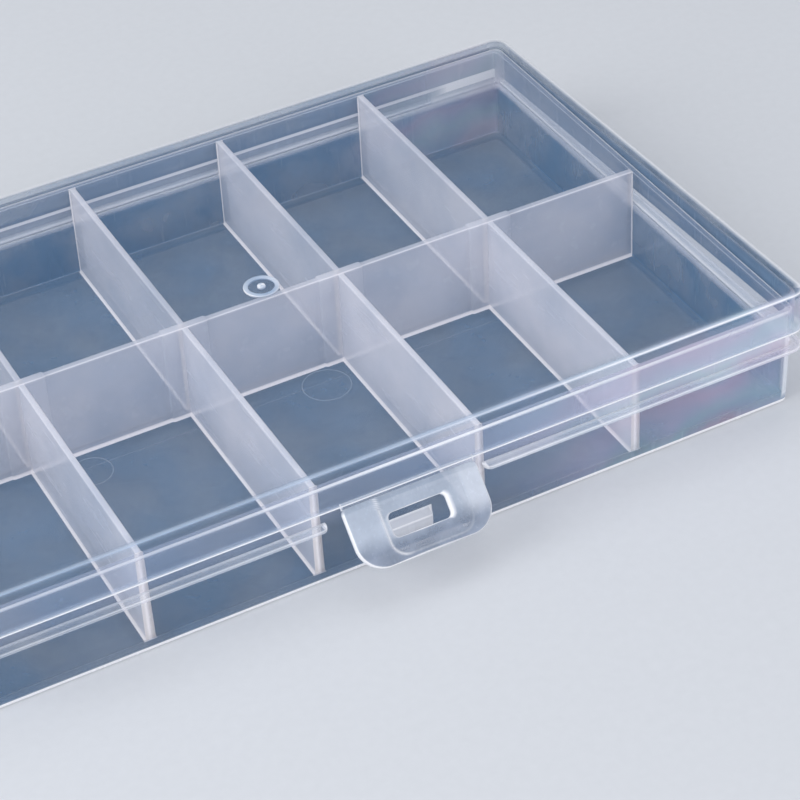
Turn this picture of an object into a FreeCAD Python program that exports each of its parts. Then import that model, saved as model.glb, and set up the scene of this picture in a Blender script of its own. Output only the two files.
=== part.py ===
import FreeCAD, Part
import math
import os
import Sketcher
from FreeCAD import Vector

# Clear compartment box for craft supplies: a tray with fixed cells, a hinged lid and a flexing latch tab.
# Millimetres, X along the box, Y from latch to hinge, Z up, origin at the middle of the tray's foot.
# The lid and the latch tab are drawn closed, then turned about their film hinges to where they rest.

COLUMNS = 5
# Slack for picking edges by where they lie.
TOUCH = 0.01

# Driving dimensions: name, value, what it sets. Lengths in millimetres, angles in degrees.
SIZES = [
    ("tray_length", 125.2, "outside length of the tray at its rim"),
    ("tray_width", 83.4, "outside width of the tray at its rim"),
    ("tray_height", 16.4, "height of the rim and of the dividers"),
    ("tray_wall", 1.0, "thickness of the tray's outer walls"),
    ("tray_floor", 1.2, "thickness of the tray's floor"),
    ("tray_corner", 1.4, "radius of the tray's upright outer corners"),
    ("cell_corner", 0.8, "radius of the tray's upright inner corners"),
    ("foot_edge", 0.5, "radius round the tray's foot"),
    ("wall_draft", 1.0, "lean of the outer walls, narrower at the foot"),
    ("divider_thickness", 0.9, "thickness of the cross dividers"),
    ("centre_thickness", 1.0, "thickness of the long centre wall"),
    ("pad_length", 7.0, "length of the thick pads at the crossings"),
    ("pad_thickness", 1.4, "thickness of those pads"),
    ("pad_rise", 0.1, "how far the pads stand above the dividers"),
    ("ledge_top", 10.4, "height of the ledge's upper face"),
    ("ledge_thickness", 0.5, "thickness of the ledge"),
    ("ledge_overhang", 0.1, "how far the ledge stands out past the lid"),
    ("latch_shift", 0.4, "how far the latch lies to the right of the middle"),
    ("latch_gap", 23.6, "clear length of the ledge's break at the latch"),
    ("ledge_end", 1.1, "rounding of the ledge's ends at the latch"),
    ("lid_clearance", 0.3, "gap between the tray's rim and the lid's skirt"),
    ("lid_wall", 1.0, "thickness of the lid's skirt"),
    ("lid_plate", 0.7, "thickness of the lid's plate"),
    ("lid_headroom", 0.2, "gap between the rim and the closed lid's plate"),
    ("lid_seat", 0.2, "gap between the ledge and the closed lid's skirt"),
    ("lid_corner", 2.4, "radius of the lid's upright outer corners"),
    ("lid_inner_corner", 1.5, "radius of the lid's upright inner corners"),
    ("lid_edge", 0.5, "radius round the lid's top"),
    ("lid_ajar", 1.65, "how far the unlatched lid stands open"),
    ("hinge_length", 100.0, "length of the back film hinge"),
    ("hinge_reach", 1.7, "how far the hinge lips stand out past the lid"),
    ("lip_thickness", 0.8, "thickness of both hinge lips"),
    ("film_thickness", 0.3, "thickness of the hinge films"),
    ("fold_radius", 0.45, "radius of the folded back film at its middle"),
    ("gate_radius", 2.6, "outer radius of the round moulding mark"),
    ("gate_width", 0.7, "width of that ring"),
    ("gate_rise", 0.25, "height of that ring"),
    ("gate_shift", 0.5, "how far the mark lies in front of the lid's middle"),
    ("stub_radius", 0.6, "radius of the gate's stub inside that ring"),
    ("stub_rise", 0.4, "height of that stub"),
    ("tab_width", 20.1, "width of the latch tab"),
    ("tab_length", 9.95, "length of the latch tab from the skirt's edge"),
    ("tab_thickness", 1.0, "thickness of the latch tab"),
    ("tab_corner", 3.8, "radius of the tab's lower corners"),
    ("tab_bevel", 0.75, "height of the bevels that thin the tab to its film"),
    ("tab_lean", 43.0, "how far the unlatched tab stands out"),
    ("tab_film", 0.7, "length of the film between skirt and tab"),
    ("slot_width", 8.6, "width of the tab's slot"),
    ("slot_height", 3.4, "height of the tab's slot"),
    ("slot_drop", 3.3, "distance from the skirt's edge to the slot"),
    ("slot_corner", 0.8, "radius of the slot's corners"),
    ("nib_width", 7.9, "width of the catch nib at the wall"),
    ("nib_height", 2.5, "height of the catch nib at the wall"),
    ("nib_reach", 1.3, "how far the catch nib stands out of the wall"),
    ("nib_ridge", 1.6, "height of the flat along the nib's nose"),
    ("nib_bevel", 0.5, "inset of the nose from the nib's ends"),
    ("nib_foot", 0.1, "bevel under the nib's nose"),
    ("nib_slack", 0.1, "gap under the nib in the latched slot"),
]

# Sizes that follow from the driving ones, as formulas of the sheet.
DERIVED = [
    ("inner_length", "tray_length - 2 * tray_wall"),
    ("inner_width", "tray_width - 2 * tray_wall"),
    ("pitch", "inner_length / %d" % COLUMNS),
    ("ledge_under", "ledge_top - ledge_thickness"),
    ("foot_inset", "tray_height * tan(wall_draft * 1deg)"),
    ("divider_height", "tray_height - tray_floor"),
    ("divider_run", "(inner_width - pad_thickness) / 2"),
    ("lid_length", "tray_length + 2 * (lid_clearance + lid_wall)"),
    ("lid_width", "tray_width + 2 * (lid_clearance + lid_wall)"),
    ("ledge_length", "lid_length + 2 * ledge_overhang"),
    ("ledge_width", "lid_width + 2 * ledge_overhang"),
    ("skirt_bottom", "ledge_top + lid_seat"),
    ("plate_under", "tray_height + lid_headroom"),
    ("lid_top", "plate_under + lid_plate"),
    ("lip_edge", "lid_width / 2 + hinge_reach"),
    ("hinge_y", "lip_edge + fold_radius"),
    ("hinge_z", "ledge_top + lid_seat / 2"),
    ("latch_y", "-(lid_width - lid_wall) / 2"),
    ("latch_z", "skirt_bottom - tab_film / 2"),
    ("tab_run", "tab_length - tab_film"),
    ("slot_low", "skirt_bottom - slot_drop - slot_height"),
    ("nib_low", "slot_low + nib_slack"),
]

NAMES = sorted([row[0] for row in SIZES + DERIVED], key=len, reverse=True)

doc = FreeCAD.newDocument("CompartmentBox")
sheet = doc.addObject("Spreadsheet::Sheet", "Sizes")


def fill_sheet():
    """Writes the driving sizes and the formulas into the sheet, one alias per row."""
    rows = [(name, str(value), note) for name, value, note in SIZES]
    rows += [(name, "=" + formula, "follows from the sizes above") for name, formula in DERIVED]
    for row, (name, content, note) in enumerate(rows, start=1):
        sheet.set("A%d" % row, name)
        sheet.set("B%d" % row, content)
        sheet.set("C%d" % row, note)
        sheet.setAlias("B%d" % row, name)
    doc.recompute()


def size(name):
    """Value of one size in the sheet."""
    return float(sheet.get(name))


def bind(target, **formulas):
    """Binds properties of an object to formulas of the sheet; two underscores in a name stand for a dot."""
    for prop, formula in formulas.items():
        words = formula
        for name in NAMES:
            words = words.replace("{%s}" % name, "Sizes." + name)
        target.setExpression(prop.replace("__", "."), words)


def move(x="0", y="0", z="0", axis="0; 0; 1", angle="0"):
    """Formula of a placement: a turn about an axis through the origin, then a shift."""
    return "placement(vector(%s; %s; %s); rotation(vector(%s); %s))" % (x, y, z, axis, angle)


def swing(y, z, angle):
    """Formula of a turn about a line along X through y and z."""
    return "placement(vector(0; 0; 0); rotation(vector(1; 0; 0); %s); vector(0; %s; %s))" % (angle, y, z)


# The lid's turn from closed to ajar, and the latch tab's turn from hanging to standing out.
LID_TURN = swing("{hinge_y}", "{hinge_z}", "-{lid_ajar}")
TAB_TURN = LID_TURN + " * " + swing("{latch_y}", "{latch_z}", "-{tab_lean}") + " * " + move("{latch_shift}")


def box(label, length, width, height, x="0", y="0", z="0", turn=None):
    """A box centred on x and y, standing on z, and then turned where a turn is given."""
    item = doc.addObject("Part::Box", label)
    place = move("(%s) - (%s) / 2" % (x, length), "(%s) - (%s) / 2" % (y, width), z)
    bind(item, Length=length, Width=width, Height=height, Placement=turn + " * " + place if turn else place)
    return item


def joined(kind, label, base, tool):
    """A boolean of two objects: Part::Cut, Part::Common or Part::Fuse."""
    item = doc.addObject(kind, label)
    item.Base = base
    item.Tool = tool
    return item


def upright(edge):
    """True where an edge runs up within the walls' draft."""
    along = edge.lastVertex().Point - edge.firstVertex().Point
    return edge.Length > 0 and abs(along.z) > 0.9 * edge.Length


def inward(edge):
    """True where an edge runs from front to back."""
    along = edge.lastVertex().Point - edge.firstVertex().Point
    return edge.Length > 0 and abs(along.y) > 0.9 * edge.Length


def rounded(label, base, radius, chosen):
    """Rounds the chosen edges of an object made of Part primitives."""
    doc.recompute()
    item = doc.addObject("Part::Fillet", label)
    item.Base = base
    item.Edges = [(n, radius, radius) for n, edge in enumerate(base.Shape.Edges, start=1) if chosen(edge)]
    return item


class Moulding:
    """A PartDesign body and the few features that the mouldings here are made of."""

    def __init__(self, label):
        self.label = label
        self.body = doc.addObject("PartDesign::Body", label)

    def plane(self, role):
        """One of the body's own origin planes."""
        return next(f for f in self.body.Origin.OriginFeatures if f.Role == role)

    def sketch(self, name, role, offset):
        """An empty sketch on an origin plane, moved along the plane's normal."""
        item = self.body.newObject("Sketcher::SketchObject", self.label + "_" + name)
        item.AttachmentSupport = (self.plane(role), [""])
        item.MapMode = "FlatFace"
        bind(item, AttachmentOffset__Base__z=offset)
        return item

    def outline(self, name, role, offset, points):
        """A closed polygon whose corners are pairs of formulas, measured from the sketch's origin."""
        item = self.sketch(name, role, offset)
        count = len(points)
        turn = 2 * math.pi / count
        start = [Vector(math.cos(k * turn), math.sin(k * turn), 0) for k in range(count)]
        for k in range(count):
            item.addGeometry(Part.LineSegment(start[k], start[(k + 1) % count]), False)
        for k, (across, along) in enumerate(points):
            item.addConstraint(Sketcher.Constraint("Coincident", k, 2, (k + 1) % count, 1))
            for kind, formula in (("DistanceX", across), ("DistanceY", along)):
                value = start[k].x if kind == "DistanceX" else start[k].y
                item.addConstraint(Sketcher.Constraint(kind, -1, 1, k, 1, value))
                title = "corner%d_%s" % (k, kind[-1].lower())
                item.renameConstraint(item.ConstraintCount - 1, title)
                bind(item, **{"Constraints__" + title: formula})
        return item

    def rectangle(self, name, role, offset, width, low, high):
        """A rectangle of a width about the sketch's upright axis, from low to high along it."""
        left = "-(%s) / 2" % width
        right = "(%s) / 2" % width
        return self.outline(name, role, offset, [(left, low), (right, low), (right, high), (left, high)])

    def feature(self, kind, name, profile, length, reverse=False):
        """A Pad or Pocket of a sketch along its normal, reversed where asked."""
        item = self.body.newObject("PartDesign::" + kind, self.label + "_" + name)
        item.Profile = profile
        item.Reversed = reverse
        bind(item, Length=length)
        doc.recompute()
        return item

    def soften(self, name, radius, chosen):
        """Rounds the chosen edges of the body as it stands."""
        doc.recompute()
        tip = self.body.Tip
        names = ["Edge%d" % n for n, edge in enumerate(tip.Shape.Edges, start=1) if chosen(edge)]
        item = self.body.newObject("PartDesign::Fillet", self.label + "_" + name)
        item.Base = (tip, names)
        bind(item, Radius=radius)
        doc.recompute()
        return item


def build_block():
    """Outer form of the tray, solid: drafted walls with rounded upright corners."""
    block = doc.addObject("Part::Wedge", "tray_form")
    bind(block, Xmin="{foot_inset} - {tray_length} / 2", Xmax="{tray_length} / 2 - {foot_inset}",
         Zmin="{foot_inset} - {tray_width} / 2", Zmax="{tray_width} / 2 - {foot_inset}",
         X2min="-{tray_length} / 2", X2max="{tray_length} / 2",
         Z2min="-{tray_width} / 2", Z2max="{tray_width} / 2",
         Ymin="0", Ymax="{tray_height}", Placement=move(axis="1; 0; 0", angle="90"))
    return rounded("tray_block", block, size("tray_corner"), upright)


def build_tray(block):
    """Tray: the block with a softened foot and one open cavity."""
    solid = rounded("tray_solid", block, size("foot_edge"), lambda edge: edge.BoundBox.ZMax < TOUCH)
    cavity = box("tray_cavity", "{inner_length}", "{inner_width}", "{tray_height}", z="{tray_floor}")
    cavity = rounded("tray_hollow", cavity, size("cell_corner"), upright)
    tray = joined("Part::Cut", "tray_cut", solid, cavity)
    tray.Label = "tray_shell"
    return [tray]


def crossing(number):
    """Place of a divider along the box, numbered from the left."""
    return "{pitch} * (%d - %.1f)" % (number, COLUMNS / 2)


def build_cells():
    """Long centre wall with a pad at each crossing, and a front and a back divider on each pad."""
    wall = box("centre_bar", "{inner_length}", "{centre_thickness}", "{divider_height}", z="{tray_floor}")
    for n in range(1, COLUMNS):
        pad = box("centre_pad_%d" % n, "{pad_length}", "{pad_thickness}", "{divider_height} + {pad_rise}",
                  x=crossing(n), z="{tray_floor}")
        wall = joined("Part::Fuse", "centre_joined_%d" % n, wall, pad)
    wall.Label = "centre_wall"
    pieces = [wall]
    for side, sign in (("front", "-"), ("back", "")):
        for n in range(1, COLUMNS):
            label = "%s_divider_%d" % (side, n)
            y = "%s({pad_thickness} + {divider_run}) / 2" % sign
            pieces.append(box(label, "{divider_thickness}", "{divider_run}", "{divider_height}",
                              x=crossing(n), y=y, z="{tray_floor}"))
    return pieces


def build_ledge(block):
    """Ledge round the tray, cut into its two ends, its back bar and the two front bars beside the latch."""
    slab = box("ledge_slab", "{ledge_length}", "{ledge_width}", "{ledge_thickness}", z="{ledge_under}")
    slab = rounded("ledge_outline", slab, size("lid_corner") + size("ledge_overhang"), upright)
    ring = joined("Part::Cut", "ledge_ring", slab, block)
    straight = "({tray_length} - 2 * {tray_corner})"
    end = "({ledge_length} - %s) / 2" % straight
    left = "((%s - {latch_gap}) / 2 + {latch_shift})" % straight
    right = "((%s - {latch_gap}) / 2 - {latch_shift})" % straight
    depth = "({ledge_width} - {inner_width}) / 2"
    middle = "({ledge_width} + {inner_width}) / 4"
    zones = [
        ("ledge_left", end, "{ledge_width}", "-(%s + %s) / 2" % (straight, end), "0"),
        ("ledge_right", end, "{ledge_width}", "(%s + %s) / 2" % (straight, end), "0"),
        ("ledge_back", straight, depth, "0", middle),
        ("ledge_front_left", left, depth, "(%s - %s) / 2" % (left, straight), "-" + middle),
        ("ledge_front_right", right, depth, "(%s - %s) / 2" % (straight, right), "-" + middle),
    ]
    pieces = []
    for label, length, width, x, y in zones:
        zone = box(label + "_zone", length, width, "{ledge_thickness}", x=x, y=y, z="{ledge_under}")
        piece = joined("Part::Common", label + "_cut", ring, zone)
        if "front" in label:
            near = size("latch_gap") / 2 + abs(size("latch_shift")) + TOUCH
            front = -size("ledge_width") / 2 + TOUCH
            piece = rounded(label + "_end", piece, size("ledge_end"), lambda edge: upright(edge)
                            and abs(edge.CenterOfMass.x) < near and edge.CenterOfMass.y < front)
        piece.Label = label
        pieces.append(piece)
    return pieces


def build_nib():
    """Catch nib: a wedge that stands square on the drafted front wall, bevelled to a nose."""
    nib = doc.addObject("Part::Wedge", "catch_nib")
    wall = move("{latch_shift}", "-{tray_width} / 2", "{tray_height}", axis="1; 0; 0", angle="{wall_draft}")
    seat = move(z="{nib_low} + {nib_height} - {tray_height}", angle="180")
    bind(nib, Xmin="-{nib_width} / 2", Xmax="{nib_width} / 2", X2min="-{nib_width} / 2 + {nib_bevel}",
         X2max="{nib_width} / 2 - {nib_bevel}", Ymin="0", Ymax="{nib_reach}",
         Zmin="-{nib_height}", Zmax="0",
         Z2min="-{nib_height} + {nib_foot}", Z2max="-{nib_height} + {nib_foot} + {nib_ridge}",
         Placement=wall + " * " + seat)
    return [nib]


def post(label, radius, height, turn=None):
    """A round post on the closed lid, where the mould was filled, and then turned where a turn is given."""
    item = doc.addObject("Part::Cylinder", label)
    place = move(y="-{gate_shift}", z="{lid_top}")
    bind(item, Radius=radius, Height=height, Placement=turn + " * " + place if turn else place)
    return item


def build_lid():
    """Lid: a plate and a skirt round the tray's rim, drawn closed."""
    lid = Moulding("lid_shell")
    plan = lid.rectangle("plan", "XY_Plane", "{skirt_bottom}", "{lid_length}",
                         "-{lid_width} / 2", "{lid_width} / 2")
    lid.feature("Pad", "block", plan, "{lid_top} - {skirt_bottom}")
    lid.soften("corners", "{lid_corner}", upright)
    lid.soften("top", "{lid_edge}", lambda edge: edge.BoundBox.ZMin > size("lid_top") - TOUCH)
    inside = lid.rectangle("inside", "XY_Plane", "{skirt_bottom}", "{lid_length} - 2 * {lid_wall}",
                           "{lid_wall} - {lid_width} / 2", "{lid_width} / 2 - {lid_wall}")
    lid.feature("Pocket", "hollow", inside, "{plate_under} - {skirt_bottom}", reverse=True)
    reach = size("lid_length") / 2 - size("lid_wall") + TOUCH
    lid.soften("inner_corners", "{lid_inner_corner}",
               lambda edge: upright(edge) and abs(edge.CenterOfMass.x) < reach
               and abs(edge.CenterOfMass.y) < size("lid_width") / 2 - size("lid_wall") + TOUCH)
    disc = post("gate_disc", "{gate_radius}", "{gate_rise}")
    hole = post("gate_hole", "{gate_radius} - {gate_width}", "{gate_rise}")
    mark = joined("Part::Cut", "gate_mark", disc, hole)
    stub = post("gate_stub", "{stub_radius}", "{stub_rise}", turn=LID_TURN)
    for item in (lid.body, mark):
        bind(item, Placement=LID_TURN)
    return [lid.body, mark, stub]


def build_hinge():
    """Back hinge: a lip on the ledge, a lip on the skirt and the film that folds between their edges."""
    reach = "{lip_edge} - {ledge_width} / 2"
    base_lip = box("base_hinge_lip", "{hinge_length}", reach, "{lip_thickness}",
                   y="({lip_edge} + {ledge_width} / 2) / 2", z="{ledge_top} - {lip_thickness}")
    lid_lip = box("lid_hinge_lip", "{hinge_length}", "{hinge_reach}", "{lip_thickness}",
                  y="{lip_edge} - {hinge_reach} / 2", z="{skirt_bottom}", turn=LID_TURN)
    outer = doc.addObject("Part::Cylinder", "film_outside")
    inner = doc.addObject("Part::Cylinder", "film_inside")
    for item, sign in ((outer, "+"), (inner, "-")):
        bind(item, Radius="{fold_radius} %s {film_thickness} / 2" % sign, Height="{hinge_length}",
             Angle="180 - {lid_ajar}",
             Placement=move("-{hinge_length} / 2", "{lip_edge}", "{hinge_z}", axis="0; 1; 0", angle="90"))
    film = joined("Part::Cut", "hinge_film", outer, inner)
    return [base_lip, film], [lid_lip]


def build_latch():
    """Latch tab: a plate with a slot, thinned by bevels to the film that hangs it from the skirt."""
    tab = Moulding("latch_tab")
    top = "({skirt_bottom} - {tab_film})"
    low = "({skirt_bottom} - {tab_length})"
    front = "{latch_y} - {tab_thickness} / 2"
    back = "{latch_y} + {tab_thickness} / 2"
    shoulder = top + " - {tab_bevel}"
    side = [(front, low), (back, low), (back, shoulder), ("{latch_y} + {film_thickness} / 2", top),
            ("{latch_y} - {film_thickness} / 2", top), (front, shoulder)]
    plate = tab.outline("side", "YZ_Plane", "-{tab_width} / 2", side)
    tab.feature("Pad", "plate", plate, "{tab_width}")
    foot = size("skirt_bottom") - size("tab_length") + TOUCH
    tab.soften("corners", "{tab_corner}", lambda edge: inward(edge) and edge.CenterOfMass.z < foot)
    slot = tab.rectangle("slot", "XZ_Plane", "-{latch_y} - {tab_thickness}", "{slot_width}",
                         "{slot_low}", "{slot_low} + {slot_height}")
    tab.feature("Pocket", "slot_cut", slot, "2 * {tab_thickness}", reverse=True)
    half = size("slot_width") / 2 + TOUCH
    tab.soften("slot_corners", "{slot_corner}",
               lambda edge: inward(edge) and abs(edge.CenterOfMass.x) < half)
    bind(tab.body, Placement=TAB_TURN)
    film = box("latch_film", "{tab_width}", "{film_thickness}", "{tab_film}",
               x="{latch_shift}", y="{latch_y}", z=top, turn=LID_TURN)
    return [tab.body], [film]


def main():
    """Builds every piece, checks it and writes one STEP file per piece."""
    fill_sheet()
    block = build_block()
    base = build_tray(block) + build_cells() + build_ledge(block) + build_nib()
    hinge_base, hinge_lid = build_hinge()
    latch, film = build_latch()
    lid = build_lid() + hinge_lid + film
    doc.recompute()
    pieces = base + hinge_base + lid + latch
    for item in doc.Objects:
        if "Invalid" in item.State or "Error" in item.State:
            raise RuntimeError("%s failed: %s" % (item.Label, item.State))
    os.makedirs("parts", exist_ok=True)
    for item in pieces:
        shape = item.Shape
        if shape.isNull() or not shape.isValid() or len(shape.Solids) != 1:
            raise RuntimeError("%s is not one sound solid" % item.Label)
        print("%-20s %8.2f mm3  %s" % (item.Label, shape.Volume, shape.BoundBox))
    for item in pieces:
        item.Shape.exportStep("parts/%s.step" % item.Label)


main()
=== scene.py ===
"""Clear moulded compartment box with a hinged lid and a flexing latch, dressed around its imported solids.

Sizes are in millimetres in the part's own frame and become metres when a mesh is made.
"""
import functools
import logging
import math
from dataclasses import dataclass, field, fields
from enum import Enum

import bmesh
import bpy
import numpy as np
from mathutils import Matrix, Vector


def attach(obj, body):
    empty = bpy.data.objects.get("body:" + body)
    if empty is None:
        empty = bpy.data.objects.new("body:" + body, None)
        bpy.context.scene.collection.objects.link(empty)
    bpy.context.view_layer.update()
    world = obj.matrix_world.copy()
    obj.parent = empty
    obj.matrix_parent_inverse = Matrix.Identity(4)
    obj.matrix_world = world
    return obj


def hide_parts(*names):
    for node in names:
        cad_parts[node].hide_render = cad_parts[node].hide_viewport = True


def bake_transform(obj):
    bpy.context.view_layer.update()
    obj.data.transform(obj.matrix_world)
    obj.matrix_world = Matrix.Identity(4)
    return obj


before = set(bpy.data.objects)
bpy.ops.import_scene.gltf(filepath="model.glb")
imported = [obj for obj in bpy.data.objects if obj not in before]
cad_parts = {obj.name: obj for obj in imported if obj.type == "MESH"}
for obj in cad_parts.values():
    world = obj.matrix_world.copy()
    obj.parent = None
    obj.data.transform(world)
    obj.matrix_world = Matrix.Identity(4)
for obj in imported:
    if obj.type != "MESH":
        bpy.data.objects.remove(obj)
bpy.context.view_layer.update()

Array = np.ndarray
Share = np.ndarray | float
Span = tuple[float, float]
Triple = tuple[float, float, float]
Material = bpy.types.Material
Piece = bpy.types.Object
Node = bpy.types.Node
Socket = bpy.types.NodeSocket
Tree = bpy.types.NodeTree
MM = 0.001
WELD = 1e-4
# Places along the back where the hinge starts and stops, each with a short run-out.
HINGE_ENDS = (-50.4, -50.1, 50.1, 50.4)
# Shares of the plastic that each point of a mesh carries for its material; the first, edge, is a painted
# highlight.
SHARES = ("edge", "haze", "pale")
LOG = logging.getLogger("compartment_box")


class Body(str, Enum):
    """The bodies of the part that pieces ride on."""

    BASE = "base"
    LID = "lid"
    LATCH = "latch"


class Onset(str, Enum):
    """The ways in which a zone of a pattern sets in."""

    EVEN = "LINEAR"
    SMOOTH = "SMOOTHSTEP"


class Slot(str, Enum):
    """The finishes that the part's record names."""

    TRAY = "tray_plastic"
    DIVIDER = "divider_plastic"
    LID = "lid_plastic"
    LATCH = "latch_plastic"
    FILM = "film_plastic"


def linear(code: str) -> tuple[float, float, float, float]:
    """Turns an sRGB hex colour into linear light.

    Args:
        code: Colour such as "#aab2c4".

    Returns:
        Red, green and blue as linear values, and an opacity of 1.
    """
    share = np.array([int(code[i:i + 2], 16) for i in (1, 3, 5)]) / 255.0
    light = np.where(share <= 0.04045, share / 12.92, ((share + 0.055) / 1.055) ** 2.4)
    return (*(float(x) for x in light), 1.0)


def add_node(tree: Tree, kind: str, inputs: dict, **settings) -> Node:
    """Adds a node with its settings, values and links.

    Args:
        tree: Node tree that gets the node.
        kind: Type name of the shader node.
        inputs: Value, linked output, or node whose first output in use is linked, by the input's name
            or number.
        **settings: Properties of the node itself.

    Returns:
        The new node.
    """
    node = tree.nodes.new(f"ShaderNode{kind}")
    for key, value in settings.items():
        setattr(node, key, value)
    for key, value in inputs.items():
        if isinstance(value, Node):
            value = next(socket for socket in value.outputs if socket.enabled)
        if isinstance(value, Socket):
            tree.links.new(value, node.inputs[key])
        else:
            node.inputs[key].default_value = value
    return node


def cleared_tree(owner: bpy.types.ID) -> Tree:
    """Switches on the nodes of a material or a world and empties them.

    Args:
        owner: The material or world.

    Returns:
        Its empty node tree.
    """
    owner.use_nodes = True
    owner.node_tree.nodes.clear()
    return owner.node_tree


def add_object(name: str, data: bpy.types.ID) -> Piece:
    """Makes an object of a mesh, a lamp or a camera and puts it into the scene.

    Args:
        name: Name of the object.
        data: What it shows.

    Returns:
        The object, at the origin.
    """
    thing = bpy.data.objects.new(name, data)
    bpy.context.scene.collection.objects.link(thing)
    return thing


@dataclass(frozen=True)
class Turn:
    """A turn about a line along X through y and z."""

    y: float
    z: float
    degrees: float

    def apply(self, points: Array) -> Array:
        """Turns points: y and z measured from the line are rotated by the angle, x stays.

        Args:
            points: Array whose last axis is x, y, z.

        Returns:
            The turned points.
        """
        angle = math.radians(self.degrees)
        y = points[..., 1] - self.y
        z = points[..., 2] - self.z
        turned = points.copy()
        turned[..., 1] = self.y + y * math.cos(angle) - z * math.sin(angle)
        turned[..., 2] = self.z + y * math.sin(angle) + z * math.cos(angle)
        return turned


@dataclass
class Patch:
    """A grid of points with, for the whole grid or at each point, three shares of its plastic.

    The shares are the whiteness of its edges, a painted highlight, its haze, and how far its tint goes to the
    paler one.
    """

    points: Array
    edge: Share
    haze: Share
    loop_rows: bool = False
    loop_columns: bool = False
    pale: Share = 0.0

    def share(self, key: str) -> Array:
        """Copies one of the three shares over the grid and lists it point by point."""
        return np.broadcast_to(getattr(self, key), self.points.shape[:2]).ravel()

    def faces(self, start: int) -> Array:
        """Numbers the four-sided faces between neighbouring rows and columns.

        Args:
            start: Number of the grid's first point in the whole mesh.

        Returns:
            One row of four point numbers per face.
        """
        rows, columns = self.points.shape[:2]
        number = start + np.arange(rows * columns).reshape(rows, columns)
        if self.loop_rows:
            number = np.vstack([number, number[:1]])
        if self.loop_columns:
            number = np.hstack([number, number[:, :1]])
        corners = (number[:-1, :-1], number[1:, :-1], number[1:, 1:], number[:-1, 1:])
        return np.stack(corners, axis=-1).reshape(-1, 4)


def ramp(values: Array, start: float, end: float) -> Array:
    """Share that goes evenly from 0 at a start to 1 at an end, and is held there outside them."""
    return np.clip((values - start) / (end - start), 0, 1)


def most(*layers: Array) -> Array:
    """Largest of several layers at each point."""
    return functools.reduce(np.maximum, layers)


def mix(one: Share, other: Share, share: Share) -> Share:
    """Goes from one value to another by a share."""
    return one + (other - one) * share


def beyond_hinge(points: Array) -> Array:
    """Share of points that lie beyond the hinge's two ends."""
    return ramp(np.abs(points[..., 0]), HINGE_ENDS[-2], HINGE_ENDS[-1])


def ladder(left: Array, right: Array, edge: float, haze: float) -> Patch:
    """Closes the gap between two lines of as many points with a strip of faces."""
    return Patch(np.stack([left, right], axis=1), edge, haze)


def closed_sheet(skins: list[Array], edge: Share, haze: float, end: float, side: float,
                 rim_haze: float = 0.4) -> list[Patch]:
    """Closes the two skins of a thin sheet along its four sides.

    Args:
        skins: The two grids of points.
        edge: Whiteness of the skins.
        haze: Haze of the skins.
        end: Whiteness of the strips along the first and last rows.
        side: Whiteness of the strips along the first and last columns.
        rim_haze: Haze of the strips.

    Returns:
        The sheet as patches.
    """
    one, other = skins
    strips = [ladder(one[i], other[i], end, rim_haze) for i in (0, -1)]
    strips += [ladder(one[:, i], other[:, i], side, rim_haze) for i in (0, -1)]
    return [Patch(skin, edge, haze) for skin in skins] + strips


def make_piece(name: str, patches: list[Patch], finish: Material, slot: Slot, body: Body | None,
               *nodes: str) -> Piece:
    """Joins patches into one closed mesh, with points in the same place merged and faces turned outwards.

    Args:
        name: Name of the piece.
        patches: Grids that make up its surface.
        finish: Its material.
        slot: The record's finish that it takes; not used.
        body: The body that it rides on, or None for a piece that rides on none.
        *nodes: The solids that it stands for.

    Returns:
        The new object, at the origin with its place in its mesh.
    """
    points = np.vstack([p.points.reshape(-1, 3) for p in patches])
    starts = np.cumsum([0] + [p.points.size // 3 for p in patches[:-1]])
    faces = np.vstack([p.faces(int(s)) for p, s in zip(patches, starts)])
    _, first, place = np.unique(np.round(points / WELD).astype(np.int64), axis=0,
                                return_index=True, return_inverse=True)
    place = place.ravel()
    corners = [list(dict.fromkeys(face)) for face in place[faces].tolist()]
    mesh = bpy.data.meshes.new(name)
    mesh.from_pydata(points[first] * MM, [], [face for face in corners if len(face) > 2])
    for key in SHARES:
        merged = np.zeros(len(first), np.float32)
        np.maximum.at(merged, place, np.concatenate([p.share(key) for p in patches]))
        layer = mesh.attributes.new(key, "FLOAT", "POINT")
        layer.data.foreach_set("value", merged)
    form = bmesh.new()
    form.from_mesh(mesh)
    bmesh.ops.recalc_face_normals(form, faces=form.faces)
    form.to_mesh(mesh)
    form.free()
    mesh.polygons.foreach_set("use_smooth", np.ones(len(mesh.polygons), bool))
    mesh.materials.append(finish)
    piece = add_object(name, mesh)
    if body:
        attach(piece, body.value)
    if nodes:
        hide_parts(*nodes)
    LOG.info("%s: %d points, %d faces", name, len(mesh.vertices), len(mesh.polygons))
    return piece


def arc(centre: Span, radius: float, start: float, end: float, steps: int = 5) -> Array:
    """Points on part of a circle: the centre plus the radius along an angle that runs evenly.

    Args:
        centre: Centre of the circle.
        radius: Its radius.
        start: First angle in degrees.
        end: Last angle in degrees.
        steps: Number of points.

    Returns:
        One row of two coordinates per point.
    """
    angle = np.radians(np.linspace(start, end, steps))
    return np.stack([centre[0] + radius * np.cos(angle), centre[1] + radius * np.sin(angle)], axis=1)


def closer(low: float, high: float, near: Array, steps: int) -> Array:
    """Places along a length, close together at both ends.

    Args:
        low: First place.
        high: Last place.
        near: Distances from each end that get a place of their own.
        steps: Number of even places over the middle.

    Returns:
        Rising places from low to high.
    """
    middle = np.linspace(low + near[-1], high - near[-1], steps)
    return np.concatenate([low + near[:-1], middle, (high - near[:-1])[::-1]])


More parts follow.
